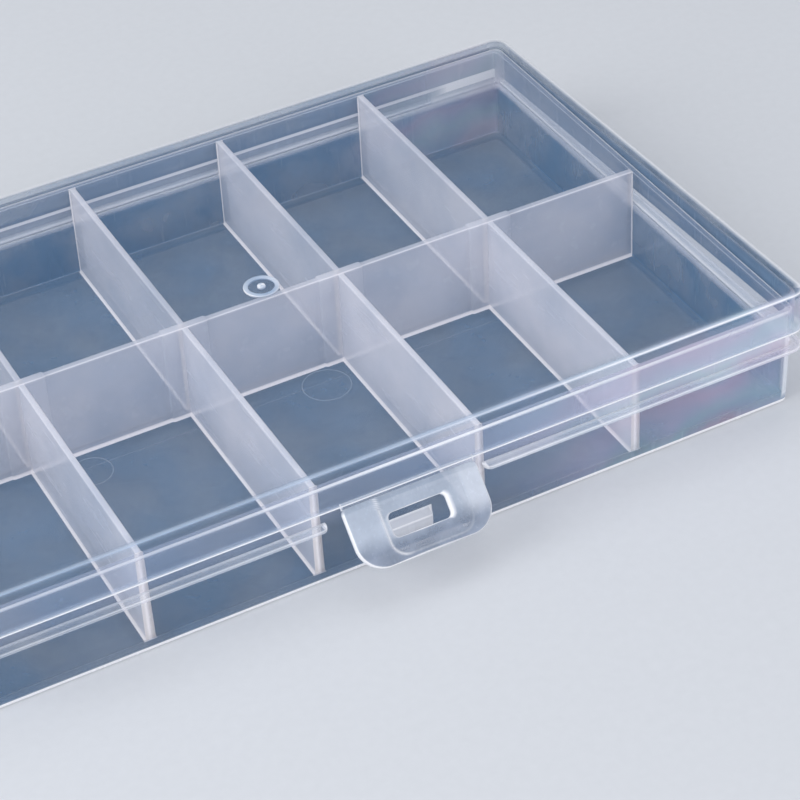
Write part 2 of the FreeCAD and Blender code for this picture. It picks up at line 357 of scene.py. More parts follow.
def turned(section: Array, centre: Span, base: float, steps: int) -> Array:
    """Turns a cross-section about an upright line: its radius goes round evenly, its height stays.

    Args:
        section: Radius and height above the base of each point.
        centre: Place of the line.
        base: Height that the others are measured from.
        steps: Number of points all round.

    Returns:
        A grid of points, those of the cross-section by steps.
    """
    angle = np.linspace(0, 2 * np.pi, steps, endpoint=False)
    x = centre[0] + section[:, :1] * np.cos(angle)
    y = centre[1] + section[:, :1] * np.sin(angle)
    return np.stack(np.broadcast_arrays(x, y, base + section[:, 1:]), axis=-1)


class Profile:
    """A cross-section that is drawn run by run."""

    def __init__(self) -> None:
        """Starts with no runs."""
        self.runs: list[Array] = []

    def add(self, inset: Share, height: Share, edge: Share, haze: Share) -> None:
        """Adds a run, where one number holds for all its points.

        Args:
            inset: Distance in from the outline.
            height: Height of the points.
            edge: Their whiteness.
            haze: Their haze.
        """
        self.runs.append(np.column_stack(np.broadcast_arrays(inset, height, edge, haze)))


@dataclass
class Wrap:
    """A cross-section that was carried round, with its own columns beside the grid of points."""

    inset: Array
    high: Array
    edge: Array
    haze: Array
    points: Array
    corner: Array


@dataclass(frozen=True)
class Ring:
    """A rounded rectangle seen from above, walked anticlockwise, that a profile is carried along."""

    half_x: float
    half_y: float
    corner: float
    inner_corner: float
    gap: Span | None = None
    stops: tuple[float, ...] = ()
    corner_steps: int = 9
    side_steps: int = 17

    def walk(self) -> tuple[Array, Array, Array]:
        """Lists the steps of the walk.

        Returns:
            The share of the half sides at each step, the outward direction there, and 1 on corners.
        """
        near = np.array([0.0, 0.35, 0.9])
        shares, outs, corners = [], [], []
        signs = np.array([(1, -1), (1, 1), (-1, 1), (-1, -1)], float)
        for turn in range(4):
            angle = np.radians(np.linspace(-90, 0, self.corner_steps) + 90 * turn)
            shares.append(np.tile(signs[turn], (self.corner_steps, 1)))
            outs.append(np.stack([np.cos(angle), np.sin(angle)], axis=1))
            corners.append(np.ones(self.corner_steps))
            along = turn % 2 == 0
            half = (self.half_y if along else self.half_x) - self.corner
            run = closer(-half, half, near, self.side_steps)[1:-1] / half
            if not along:
                run = np.unique(np.concatenate([run, np.array(self.stops) / half]))
            if turn == 3 and self.gap:
                ends = np.array([0.0, 0.06, 0.16, 0.32, 0.55, 0.8, 1.1, 1.6])
                left = closer(-half, self.gap[0], ends, self.side_steps)[1:] / half
                right = closer(self.gap[1], half, ends, self.side_steps)[:-1] / half
                run = left
            other = np.full(len(run), 1.0 if turn in (0, 1) else -1.0)
            way = 1.0 if turn in (0, 3) else -1.0
            side = np.stack([other, way * run] if along else [way * run, other], axis=1)
            shares.append(side)
            outs.append(np.tile([other[0], 0.0] if along else [0.0, other[0]], (len(run), 1)))
            corners.append(np.zeros(len(run)))
            if turn == 3 and self.gap:
                shares.insert(0, np.stack([right, np.full(len(right), -1.0)], axis=1))
                outs.insert(0, np.tile([0.0, -1.0], (len(right), 1)))
                corners.insert(0, np.zeros(len(right)))
        return np.vstack(shares), np.vstack(outs), np.concatenate(corners)

    def carry(self, inset: Array, height: Array) -> Array:
        """Carries a profile along the walk: sides move in by the inset, corner radii shrink with it.

        Args:
            inset: Distance in from the outline, as a column of the profile's points or for each step too.
            height: Height of each profile point.

        Returns:
            A grid of points, profile points by steps.
        """
        share, out, _ = self.walk()
        inset = np.broadcast_to(inset, (len(inset), len(share)))
        radius = np.minimum(np.maximum(self.corner - inset, self.inner_corner), self.half_y - inset)
        x = share[:, 0] * (self.half_x - inset - radius) + radius * out[:, 0]
        y = share[:, 1] * (self.half_y - inset - radius) + radius * out[:, 1]
        return np.stack([x, y, np.broadcast_to(height[:, None], x.shape)], axis=-1)

    def wrap(self, profile: Profile) -> Wrap:
        """Carries a cross-section all round and keeps its columns and the corners beside the points."""
        inset, high, edge, haze = np.vstack(profile.runs).T[..., None]
        return Wrap(inset, high, edge, haze, self.carry(inset, high[:, 0]), self.walk()[2])


@dataclass(frozen=True)
class StressZone:
    """Where moulded-in stress shows: its onset along X, its strength, and its side, -1 front or 1 back."""

    start: float
    end: float
    strength: float
    side: int
    onset: Onset
    inner_y: float = 39.6
    outer_y: float = 40.6


@dataclass(frozen=True)
class ClearPlastic:
    """Moulded polypropylene, natural and unpigmented.

    A thin wall is see-through with a cool milky haze, its edges and fillets carry a painted highlight, white
    in place of the light that gathers in them, and slow flow clouds, faint streaks and a soft gloss come from
    the mould.
    """

    name: str
    tint: str
    cloud: str
    pale: str | None = None
    # White and cover of the painted highlight on edges and fillets.
    rim: str = "#fcfcff"
    solid: float = 0.94
    cloud_mm: float = 11.0
    cloud_share: float = 0.35
    streak_mm: float = 0.7
    streak_share: float = 0.12
    gloss: float = 0.16
    gloss_range: float = 0.14
    bump_mm: float = 0.04
    ior: float = 1.49
    glow: float = 0.6
    rainbow: float = 0.0
    stretch: Triple = (1.0, 1.0, 0.12)
    stress: tuple[StressZone, StressZone] = (StressZone(8.0, 45.0, 1.0, -1, Onset.SMOOTH),
                                             StressZone(34.0, 40.0, 0.6, 1, Onset.EVEN))
    slope: Triple = (-18.0, 0.0, 110.0)
    bend: float = 1.5
    bands: tuple[tuple[float, str], ...] = (
        (0.0, "#96a2ba"), (0.25, "#8aaeb4"), (0.5, "#a8a6c0"), (0.74, "#c89fba"), (1.0, "#96a2ba"))

    def build(self) -> Material:
        """Makes the material's nodes.

        Returns:
            The material.
        """
        material = bpy.data.materials.new(self.name)
        tree = cleared_tree(material)
        place = add_node(tree, "TexCoord", {}).outputs["Object"]
        edge, haze, pale = [add_node(tree, "Attribute", {}, attribute_name=key).outputs["Fac"]
                            for key in SHARES]
        cloud = add_node(tree, "TexNoise", {
            "Vector": place, "Scale": 1 / (self.cloud_mm * MM), "Detail": 3.0, "Roughness": 0.5})
        soft = add_node(tree, "MapRange", {"Value": cloud, "From Min": 0.32, "From Max": 0.68},
                        interpolation_type=Onset.SMOOTH.value)
        drawn = add_node(tree, "Mapping", {"Vector": place, "Scale": self.stretch})
        streak = add_node(tree, "TexNoise", {
            "Vector": drawn, "Scale": 1 / (self.streak_mm * MM), "Detail": 2.0, "Roughness": 0.6})
        colour = add_node(tree, "Mix", {"Factor": soft, 6: linear(self.tint), 7: linear(self.cloud)},
                          data_type="RGBA")
        if self.pale:
            colour = add_node(tree, "Mix", {"Factor": pale, 6: colour, 7: linear(self.pale)},
                              data_type="RGBA")
        if self.rainbow:
            colour = self.add_rainbow(tree, place, cloud, colour)
        # Painted highlight: the edge share mixes the colour towards the white rim colour.
        colour = add_node(tree, "Mix", {"Factor": edge, 6: colour, 7: linear(self.rim)}, data_type="RGBA")
        cloudy = add_node(tree, "Math", {0: soft, 1: self.cloud_share, 2: 1 - self.cloud_share / 2},
                          operation="MULTIPLY_ADD")
        streaky = add_node(tree, "Math", {0: streak, 1: self.streak_share * 2, 2: 1 - self.streak_share},
                           operation="MULTIPLY_ADD")
        milk = add_node(tree, "Math", {0: cloudy, 1: streaky}, operation="MULTIPLY")
        milk = add_node(tree, "Math", {0: milk, 1: haze}, operation="MULTIPLY")
        # The painted highlight also brings the edges' cover up towards solid.
        cover = add_node(tree, "Mix", {"Factor": edge, 2: milk, 3: self.solid}, data_type="FLOAT")
        shadow = add_node(tree, "LightPath", {}).outputs["Is Shadow Ray"]
        shaded = add_node(tree, "Math", {0: shadow, 1: -self.glow, 2: 1.0}, operation="MULTIPLY_ADD")
        cover = add_node(tree, "Math", {0: cover, 1: shaded}, operation="MULTIPLY")
        rough = add_node(tree, "MapRange", {
            "Value": streak, "From Min": 0.3, "From Max": 0.7, "To Min": self.gloss,
            "To Max": self.gloss + self.gloss_range})
        bump = add_node(tree, "Bump", {"Height": streak, "Strength": 0.04, "Distance": self.bump_mm * MM})
        shader = add_node(tree, "BsdfPrincipled", {
            "Base Color": colour, "Alpha": cover, "Roughness": rough, "Normal": bump, "IOR": self.ior})
        add_node(tree, "OutputMaterial", {"Surface": shader})
        return material

    def add_rainbow(self, tree: Tree, place: Socket, cloud: Node, colour: Node) -> Node:
        """Adds the pink and green bands of moulded-in stress at the right ends of the box's front and back.

        The bands follow the share left over from a slope across the box that slow noise bends.

        Args:
            tree: The material's nodes.
            place: Object coordinates.
            cloud: Slow noise that bends the bands.
            colour: The colour under the bands.

        Returns:
            The colour with the bands.
        """
        axes = add_node(tree, "SeparateXYZ", {"Vector": place})
        zones = []
        for zone in self.stress:
            along = add_node(tree, "MapRange", {
                "Value": axes.outputs["X"], "From Min": zone.start * MM, "From Max": zone.end * MM,
                "To Max": zone.strength * self.rainbow}, interpolation_type=zone.onset.value)
            across = add_node(tree, "MapRange", {
                "Value": axes.outputs["Y"], "From Min": zone.side * zone.inner_y * MM,
                "From Max": zone.side * zone.outer_y * MM})
            zones.append(add_node(tree, "Math", {0: along, 1: across}, operation="MULTIPLY"))
        reach = add_node(tree, "Math", dict(enumerate(zones)), operation="MAXIMUM")
        slope = add_node(tree, "VectorMath", {0: place, 1: self.slope}, operation="DOT_PRODUCT")
        bent = add_node(tree, "Math", {0: cloud, 1: self.bend, 2: slope}, operation="MULTIPLY_ADD")
        cycle = add_node(tree, "Math", {0: bent}, operation="FRACT")
        bands = add_node(tree, "ValToRGB", {"Fac": cycle})
        while len(bands.color_ramp.elements) < len(self.bands):
            bands.color_ramp.elements.new(0.5)
        for element, (at, code) in zip(bands.color_ramp.elements, self.bands):
            element.position = at
            element.color = linear(code)
        return add_node(tree, "Mix", {"Factor": reach, 6: colour, 7: bands},
                        data_type="RGBA", blend_type="COLOR")


@dataclass(frozen=True)
class PaperSweep:
    """Matt pale paper under the box: a cool grey with a fine felt of fibres."""

    name: str = "matt_paper"
    light: str = "#d3d6db"
    dark: str = "#ced1d6"
    fibre_mm: float = 1.5
    roughness: float = 0.75

    def build(self) -> Material:
        """Makes the material's nodes.

        Returns:
            The material.
        """
        material = bpy.data.materials.new(self.name)
        tree = cleared_tree(material)
        place = add_node(tree, "TexCoord", {}).outputs["Object"]
        fibre = add_node(tree, "TexNoise", {
            "Vector": place, "Scale": 1 / (self.fibre_mm * MM), "Detail": 2.0})
        colour = add_node(tree, "Mix", {"Factor": fibre, 6: linear(self.light), 7: linear(self.dark)},
                          data_type="RGBA")
        shader = add_node(tree, "BsdfPrincipled", {"Base Color": colour, "Roughness": self.roughness})
        add_node(tree, "OutputMaterial", {"Surface": shader})
        return material


@dataclass(frozen=True)
class Finishes:
    """The plastic of each moulding, as haze and tint differ with its thickness and its place."""

    tray: ClearPlastic = ClearPlastic("moulded_polypropylene_tray", "#3b6083", "#547698", pale="#b4c0de",
                                      streak_mm=1.6, streak_share=0.03, rainbow=0.55)
    divider: ClearPlastic = ClearPlastic("moulded_polypropylene_divider", "#d1d6e5", "#e3e3ed", rim="#f8f4f8",
                                         cloud_mm=16.0, cloud_share=0.16, streak_mm=2.5, streak_share=0.03,
                                         stretch=(1.0, 0.15, 1.0))
    ledge: ClearPlastic = ClearPlastic("moulded_polypropylene_ledge", "#c8d2e2", "#dce1eb", streak_mm=1.6,
                                       streak_share=0.04, rainbow=0.2)
    lid: ClearPlastic = ClearPlastic("moulded_polypropylene_lid", "#56718f", "#64809e", pale="#93b0d2",
                                     streak_mm=1.6, streak_share=0.02, rainbow=0.4)
    latch: ClearPlastic = ClearPlastic("moulded_polypropylene_latch", "#64748b", "#7d8ba1", pale="#aab6c7",
                                       cloud_mm=3.2, cloud_share=0.2, streak_mm=0.6, streak_share=0.12)
    film: ClearPlastic = ClearPlastic("moulded_polypropylene_film", "#9fb0c6", "#b4c0d0", cloud_mm=5.0)


@dataclass
class Tray:
    """The tray: drafted outer walls, a floor with a filleted foot inside, and a rounded rim."""

    half_length: float = 62.6
    half_width: float = 41.7
    height: float = 16.4
    wall: float = 1.0
    floor: float = 1.2
    corner: float = 1.4
    cell_corner: float = 0.8
    draft: float = 1.0
    foot_edge: float = 0.5
    rim_edge: float = 0.2
    fillet: float = 0.3
    # Haze
    wall_haze: float = 0.85
    skin_haze: float = 0.5
    upper_haze: float = 0.12
    front_haze: float = 0.07
    front_gain: float = 0.2
    front_upper: float = 0.04
    low_haze: float = 0.6
    floor_haze: float = 0.52
    border_haze: float = 0.56
    under_haze: float = 0.3
    # Whiteness
    blush: float = 0.45
    # Painted glare highlight in the back right corner, on the back wall and on the right wall.
    glare: float = 0.4
    side_glare: float = 0.24
    # Fading of the painted rim highlight at the front left, and the painted foot highlight's share away from
    # the front.
    rim_dim: float = 0.35
    foot_dim: float = 0.12
    # Painted highlight on the outer corners, away from the front and at the front.
    post: Span = (0.1, 0.7)
    # Paleness
    upper_pale: float = 0.45
    # Paleness of the outer skins, partly painted light that lifts their shade.
    skin_pale: float = 0.9
    flush: float = 0.28
    # Zones, each from its start to its end
    right: Span = (5.0, 55.0)
    dim_x: Span = (0.0, -30.0)
    glare_x: Span = (38.0, 52.0)
    glare_y: Span = (0.0, 4.0)
    flush_x: Span = (34.0, 40.0)
    sunk_z: Span = (2.3, 1.9)
    upper_from: float = 9.4
    # Painted highlight over the hinge: lowest and highest height, and whiteness
    hinge_line: Triple = (12.8, 13.4, 0.7)
    hinge_band: Triple = (11.8, 13.4, 0.95)

    def lean(self, z: Array) -> Array:
        """Inset of the outer wall at a height: the drop below the rim times the draft's tangent."""
        return (self.height - np.asarray(z, float)) * math.tan(math.radians(self.draft))

    def profile(self) -> Profile:
        """Cross-section from the middle of the underside, up the outside, over the rim and down to the floor.

        Returns:
            The cross-section with its whiteness and haze.
        """
        foot = float(self.lean(0.0))
        top = self.height - self.rim_edge
        clear = self.wall_haze
        line = Profile()
        # The whiteness along the section is painted highlight: full on the foot and the rim's outer rounding,
        # faint over the rim's top and inner rounding.
        line.add([self.half_width, 30.0, 14.0, 6.0, 3.0, 1.5], 0.0, [0, 0, 0, 0, 0, 0.2], self.under_haze)
        line.add(*arc((foot + self.foot_edge, self.foot_edge), self.foot_edge, 270, 180).T, 1.0, clear)
        rise = np.array([0.72, 0.84, 1.9, 2.3, 3.0, self.upper_from, 10.4, 15.4, 15.85])
        line.add(self.lean(rise), rise, [1, 0, 0, 0, 0, 0, 0, 0, 0.1], clear)
        line.add(*arc((self.rim_edge, top), self.rim_edge, 180, 90).T, [1.0, 1.0, 1.0, 1.0, 0.8], clear)
        line.add([self.rim_edge + 0.1], self.height, 0.2, clear)
        line.add(*arc((self.wall - self.rim_edge, top), self.rim_edge, 90, 0).T,
                 [0.2, 0.3, 0.4, 0.35, 0.2], clear)
        fall = [15.85, 15.4, 13.45, 13.3, 12.85, 12.7, 11.85, 11.7, 10.4, self.upper_from, 6.0, 3.4]
        line.add(self.wall, fall + [self.floor + self.fillet + 0.25], [0.1] + [0] * 12, clear)
        bend = arc((self.wall + self.fillet, self.floor + self.fillet), self.fillet, 180, 270, 7)
        line.add(*bend.T, 0.0, self.border_haze)
        line.add([1.6, 2.6, 3.6, 14.0, 30.0, self.half_width], self.floor, 0.0,
                 [self.border_haze] * 2 + [self.floor_haze] * 4)
        return line

    def shares(self, wrap: Wrap) -> tuple[Array, Array, Array]:
        """Whiteness, haze and paleness of the walls, which differ from side to side.

        The front wall is clear and grows milky to the right and above the ledge. The other walls are deeper
        inside and paler outside, a paleness that is partly painted light on their shaded outer skins, clearer
        above the ledge, with a painted glare highlight in the back right corner. On the back wall's inner
        face, a painted highlight stands over the hinge in a thin line, and beyond its ends in a band.

        Args:
            wrap: The tray's cross-section, carried round.

        Returns:
            The three shares at each point.
        """
        x, y, _ = np.moveaxis(wrap.points, -1, 0)
        high = wrap.high
        inner_x = self.half_length - self.wall
        inner_y = self.half_width - self.wall
        outside = wrap.inset < self.wall - 0.1
        inside = np.abs(wrap.inset - self.wall) < 0.01
        front = ramp(-y, inner_y - 0.4, inner_y - 0.1)
        back = ramp(y, inner_y - 0.3, inner_y)
        aside = ramp(x, inner_x - 0.3, inner_x)
        right = ramp(x, *self.right)
        above = ramp(high, self.upper_from, self.upper_from + 1)
        upright = (high > self.floor + 0.15) | (outside & (high > 0.6))
        sunk = ramp(high, *self.sunk_z) * outside * (high > 0.75) * front

        # Painted highlights: the section's edge whiteness, the foot's kept mainly at the front and the front
        # rim's faded to the left.
        white = wrap.edge * np.where(high < self.floor, mix(self.foot_dim, 1.0, front), 1.0)
        white = white * (1 - self.rim_dim * front * (high > 15.8) * ramp(x, *self.dim_x))
        # Painted highlight on the outer corners, strongest at the front.
        post = wrap.corner * (outside & (high > self.floor)) * mix(*self.post, front)
        # Painted highlight over the hinge: a thin line on the back wall's inner face, and a band beyond the
        # hinge's ends.
        line, band = [share * ((high > low) & (high < top))
                      for low, top, share in (self.hinge_line, self.hinge_band)]
        lit = inside * back * mix(line, band, beyond_hinge(wrap.points))
        # Painted glare highlight above the ledge: to the right on the back wall, and towards the back on the
        # right wall.
        glare = above * np.maximum(self.glare * ramp(x, *self.glare_x) * back,
                                   self.side_glare * ramp(y, *self.glare_y) * aside)
        white = most(white, self.blush * right * front * above, glare, lit, post)

        veil = mix(np.where(outside, self.skin_haze, self.wall_haze), self.upper_haze, above)
        clear = self.front_haze + self.front_gain * right + self.front_upper * above
        milk = mix(np.where(upright, mix(veil, clear, front), wrap.haze), self.low_haze, sunk)

        cast = front * np.maximum(above, np.clip(2 * right, 0, 1))
        # The outer skins of the back and side walls are paler: partly to offset two walls seen one through
        # the other, partly painted light that lifts their shade.
        skin = outside * np.maximum(self.upper_pale, self.skin_pale * (1 - above)) * (1 - front)
        pale = most(self.upper_pale * above, skin, cast, self.flush * back * ramp(x, *self.flush_x))
        return white, milk, pale * upright * (1 - sunk * (1 - 0.5 * right))

    def build(self, finish: Material) -> Piece:
        """Carries the cross-section round the tray.

        Args:
            finish: The tray's plastic.

        Returns:
            The tray.
        """
        ring = Ring(self.half_length, self.half_width, self.corner, self.cell_corner, stops=HINGE_ENDS)
        wrap = ring.wrap(self.profile())
        white, milk, pale = self.shares(wrap)
        patch = Patch(wrap.points, white, milk, loop_columns=True, pale=pale)
        return make_piece("tray", [patch], finish, Slot.TRAY, Body.BASE, "tray_shell")


@dataclass
class Cells:
    """The long centre wall and the eight dividers, with hollow fillets at the floor and the walls."""

    half_inner_length: float = 61.6
    half_inner_width: float = 40.7
    floor: float = 1.2
    top: float = 16.4
    pitch: float = 24.64
    divider: float = 0.9
    centre: float = 1.0
    pad_length: float = 7.0
    pad: float = 1.4
    pad_rise: float = 0.1
    flare: float = 0.1
    fillet: float = 0.42
    end_fillet: float = 0.16
    top_edge: float = 0.2
    bite: float = 0.03
    front_haze: float = 0.75
    back_haze: float = 0.55
    centre_haze: float = 0.42
    # Haze at the front wall's end of the front dividers: this whiter, milkier end is painted light that lifts
    # the shade there.
    end_haze: float = 0.95
    end_zone: Span = (-34.0, -39.0)

    def crossings(self) -> Array:
        """Places of the dividers along the box."""
        return self.pitch * np.array([-1.5, -0.5, 0.5, 1.5])

    def slab(self, run: Array, half: Array, top: Array, haze: Array) -> list[Patch]:
        """Upright slab along a run, in its own frame: run, side, height.

        The half thickness is the slab's own, plus a flare that grows evenly towards the floor, plus the
        larger of two hollow fillets, at the floor and at the ends: a radius less a quarter circle.

        Args:
            run: Places along the slab.
            half: Half thickness at each place, at the top.
            top: Height of the top at each place.
            haze: Haze at each place.

        Returns:
            The closed slab as patches.
        """
        near = np.array([0.0, 0.05, 0.12, 0.22, 0.36, 0.53])
        level = np.concatenate([self.floor - self.bite + near, [2.2, 4.0, 7.0, 10.0, 13.0, 15.6, 15.95]])
        rise = np.maximum(level - self.floor, 0)[:, None]
        end = np.maximum(np.minimum(run - run[0], run[-1] - run) - self.bite, 0)[None, :]
        foot = np.clip(1 - rise / self.fillet, 0, 1)
        tip = np.clip(1 - end / self.end_fillet, 0, 1)
        foot_web = self.fillet * (1 - np.sqrt(1 - foot ** 2))
        tip_web = self.end_fillet * (1 - np.sqrt(1 - tip ** 2))
        web = np.maximum(foot_web, tip_web)
        grown = self.flare * (self.top - level[:, None]) / (self.top - self.floor)
        crown = arc((0.0, 0.0), self.top_edge, 0, 90)
        crown_side = half[None, :] - self.top_edge + crown[:, :1] + web[-1]
        side = np.vstack([half[None, :] + grown + web, crown_side])
        height = np.vstack([np.broadcast_to(level[:, None], web.shape),
                            top[None, :] - self.top_edge + crown[:, 1:]])
        # Painted highlights: a line along the top, full on one side's crown and a third of it on the other,
        # white in the foot and end fillets and on the end caps.
        shine = np.array([0.1, 0.5, 0.65, 0.5, 0.1])[:, None]
        glow = np.vstack([np.maximum((foot > 0) * 0.95, (tip > 0) * 0.9),
                          np.broadcast_to(0.35 * shine, crown_side.shape)])
        along = np.broadcast_to(run[None, :], side.shape)
        right = np.stack([along, side, height], axis=-1)
        left = np.stack([along, -side, height], axis=-1)
        bright = glow.copy()
        bright[-5:] = shine
        walls = [Patch(right, glow, haze), Patch(left, bright, haze)]
        caps = [ladder(left[:, i], right[:, i], 1.0, 0.5) for i in (0, -1)]
        return walls + caps + [ladder(left[-1], right[-1], 0.1, 0.3), ladder(left[0], right[0], 0.5, 0.2)]

    def place(self, patches: list[Patch], x: float) -> list[Patch]:
        """Turns slabs that run along X so that they run along Y at a place x.

        Args:
            patches: The slab's patches.
            x: Place of the slab's middle.

        Returns:
            The same patches, turned.
        """
        for patch in patches:
            run, side, height = np.moveaxis(patch.points, -1, 0)
            patch.points = np.stack([x - side, run, height], axis=-1)
        return patches

    def build(self, finish: Material) -> list[Piece]:
        """Makes the centre wall and the dividers.

        Args:
            finish: The dividers' plastic.

        Returns:
            The pieces.
        """
        near = np.array([0.0, 0.05, 0.12, 0.22, 0.36, 0.55, 0.85, 1.2])
        reach = self.half_inner_length + self.bite
        steps = [closer(-reach, reach, near, 40)]
        ease = 0.12
        steps += [c + s * self.pad_length / 2 + ease * np.array([-1.0, 0.0, 1.0])
                  for c in self.crossings() for s in (-1, 1)]
        run = np.unique(np.concatenate(steps))
        apart = np.abs(run[:, None] - self.crossings()[None, :]).min(axis=1)
        pad = ramp(apart, self.pad_length / 2 + ease, self.pad_length / 2 - ease)
        half = mix(self.centre, self.pad, pad) / 2
        wall = self.slab(run, half, self.top + pad * self.pad_rise, self.centre_haze + 0.1 * pad)
        pieces = [make_piece("centre_wall_moulding", wall, finish, Slot.DIVIDER, Body.BASE, "centre_wall")]
        start = self.centre / 2
        for side, sign, haze in (("front", -1, self.front_haze), ("back", 1, self.back_haze)):
            ends = sorted((sign * start, sign * (self.half_inner_width + self.bite)))
            run = closer(ends[0], ends[1], near, 12)
            half = np.full(len(run), self.divider / 2)
            # Milkier towards the front wall: painted light that lifts the shade there.
            milk = mix(haze, self.end_haze, ramp(run, *self.end_zone))
            for number, x in enumerate(self.crossings(), start=1):
                slab = self.place(self.slab(run, half, np.full(len(run), self.top), milk), float(x))
                pieces.append(make_piece(f"{side}_divider_moulding_{number}", slab, finish, Slot.DIVIDER,
                                         Body.BASE, f"{side}_divider_{number}"))
        return pieces


@dataclass
class Ledge:
    """The ledge that the lid's skirt comes down to, broken at the latch, with rounded edges and ends."""

    half_length: float = 64.0
    half_width: float = 43.1
    corner: float = 2.5
    root: float = 1.6
    top: float = 10.4
    thickness: float = 0.5
    round: float = 0.2
    gap: Span = (-11.4, 12.2)
    end: float = 1.1
    haze: float = 0.3
    back_haze: float = 0.6
    back_zone: Span = (30.0, 40.0)
    left_zone: Span = (12.0, -38.0)
    # Fading of the painted highlights at the back and to the left, the haze's clearing to the left, and the
    # white of the painted tips.
    back_dim: float = 0.75
    left_dim: float = 0.3
    left_clear: float = 0.7
    tip: float = 0.9

    def build(self, finish: Material) -> Piece:
        """Carries the ledge's cross-section round the tray, drawn in by a quarter circle at the two ends.

        Args:
            finish: The tray's plastic.

        Returns:
            The ledge.
        """
        low = self.top - self.thickness
        ring = Ring(self.half_length, self.half_width, self.corner, 0.9, self.gap, HINGE_ENDS)
        section = np.vstack([
            [(self.root, low), (1.0, low), (0.5, low)],
            arc((self.round, low + self.round), self.round, 270, 180),
            arc((self.round, self.top - self.round), self.round, 180, 90),
            [(0.5, self.top), (1.0, self.top), (self.root, self.top)],
        ])
        # Painted highlights on the section's rounded edges.
        lower = [0.1, 0.0, 0.1, 0.5, 0.8, 0.75, 0.4, 0.3]
        upper = [0.3, 0.35, 0.6, 0.75, 0.4, 0.0, 0.1, 0.9]
        edge = np.array(lower + upper)
        share, _, _ = ring.walk()
        x = share[:, 0] * (self.half_length - self.corner)
        front = (share[:, 1] < -0.999) & (np.abs(x) < self.half_length - self.corner - 0.01)
        apart = np.where(front, np.minimum(np.abs(x - self.gap[0]), np.abs(x - self.gap[1])), 99.0)
        drawn = self.end - np.sqrt(np.maximum(self.end ** 2 - np.clip(self.end - apart, 0, self.end) ** 2, 0))
        inset = np.minimum(np.maximum(section[:, :1], drawn[None, :] + 0.5 * section[:, :1]), self.root)
        points = ring.carry(inset, section[:, 1])
        # Painted highlights: white by the latch's gap and on top beyond the hinge's ends, faded at the back
        # and towards the left.
        white = np.maximum(edge[:, None], np.where(apart < 0.5, self.tip, 0.0)[None, :])
        behind = ramp(points[..., 1], *self.back_zone)
        left = ramp(points[..., 0], *self.left_zone)
        beyond = beyond_hinge(points)
        white = white * (1 - self.back_dim * behind * (1 - beyond))
        white = np.maximum(white, self.tip * behind * beyond * (section[:, 1:] > self.top - 0.01))
        white = white * (1 - self.left_dim * left * (1 - behind))
        milk = mix(self.haze * (1 - self.left_clear * left), self.back_haze, behind)
        patch = Patch(points, white, milk, loop_rows=True)
        count = len(section) // 2
        caps = [ladder(points[:count, i], points[::-1][:count, i], 0.9, 0.5) for i in (0, -1)]
        return make_piece("ledge", [patch] + caps, finish, Slot.TRAY, Body.BASE, "ledge_left", "ledge_right",
                          "ledge_back", "ledge_front_left", "ledge_front_right")


def bar(length: float, section: Array, edge: Array, haze: float, ends: Array,
        centre: Span) -> Patch:
    """Bar along X whose cross-section shrinks towards a centre at its ends.

    Args:
        length: Length of the bar.
        section: Closed cross-section, y and z of each point.
        edge: Whiteness of each point.
        haze: Haze of the bar.
        ends: Distance from the end and size there, as rows of two.
        centre: Point that the cross-section shrinks to.

    Returns:
        The closed bar as one patch; its end rows shrink to a point.
    """
    x = np.concatenate([ends[:, 0] - length / 2, (length / 2 - ends[:, 0])[::-1]])
    size = np.concatenate([ends[:, 1], ends[::-1, 1]])
    yz = np.asarray(centre) + size[:, None, None] * (section[None] - np.asarray(centre))
    points = np.concatenate([np.broadcast_to(x[:, None, None], yz.shape[:2] + (1,)), yz], axis=-1)
    # Painted highlight on the shrinking ends.
    white = np.maximum(edge[None, :], (size < 0.999)[:, None] * 1.0)
    return Patch(points, white, haze, loop_columns=True)


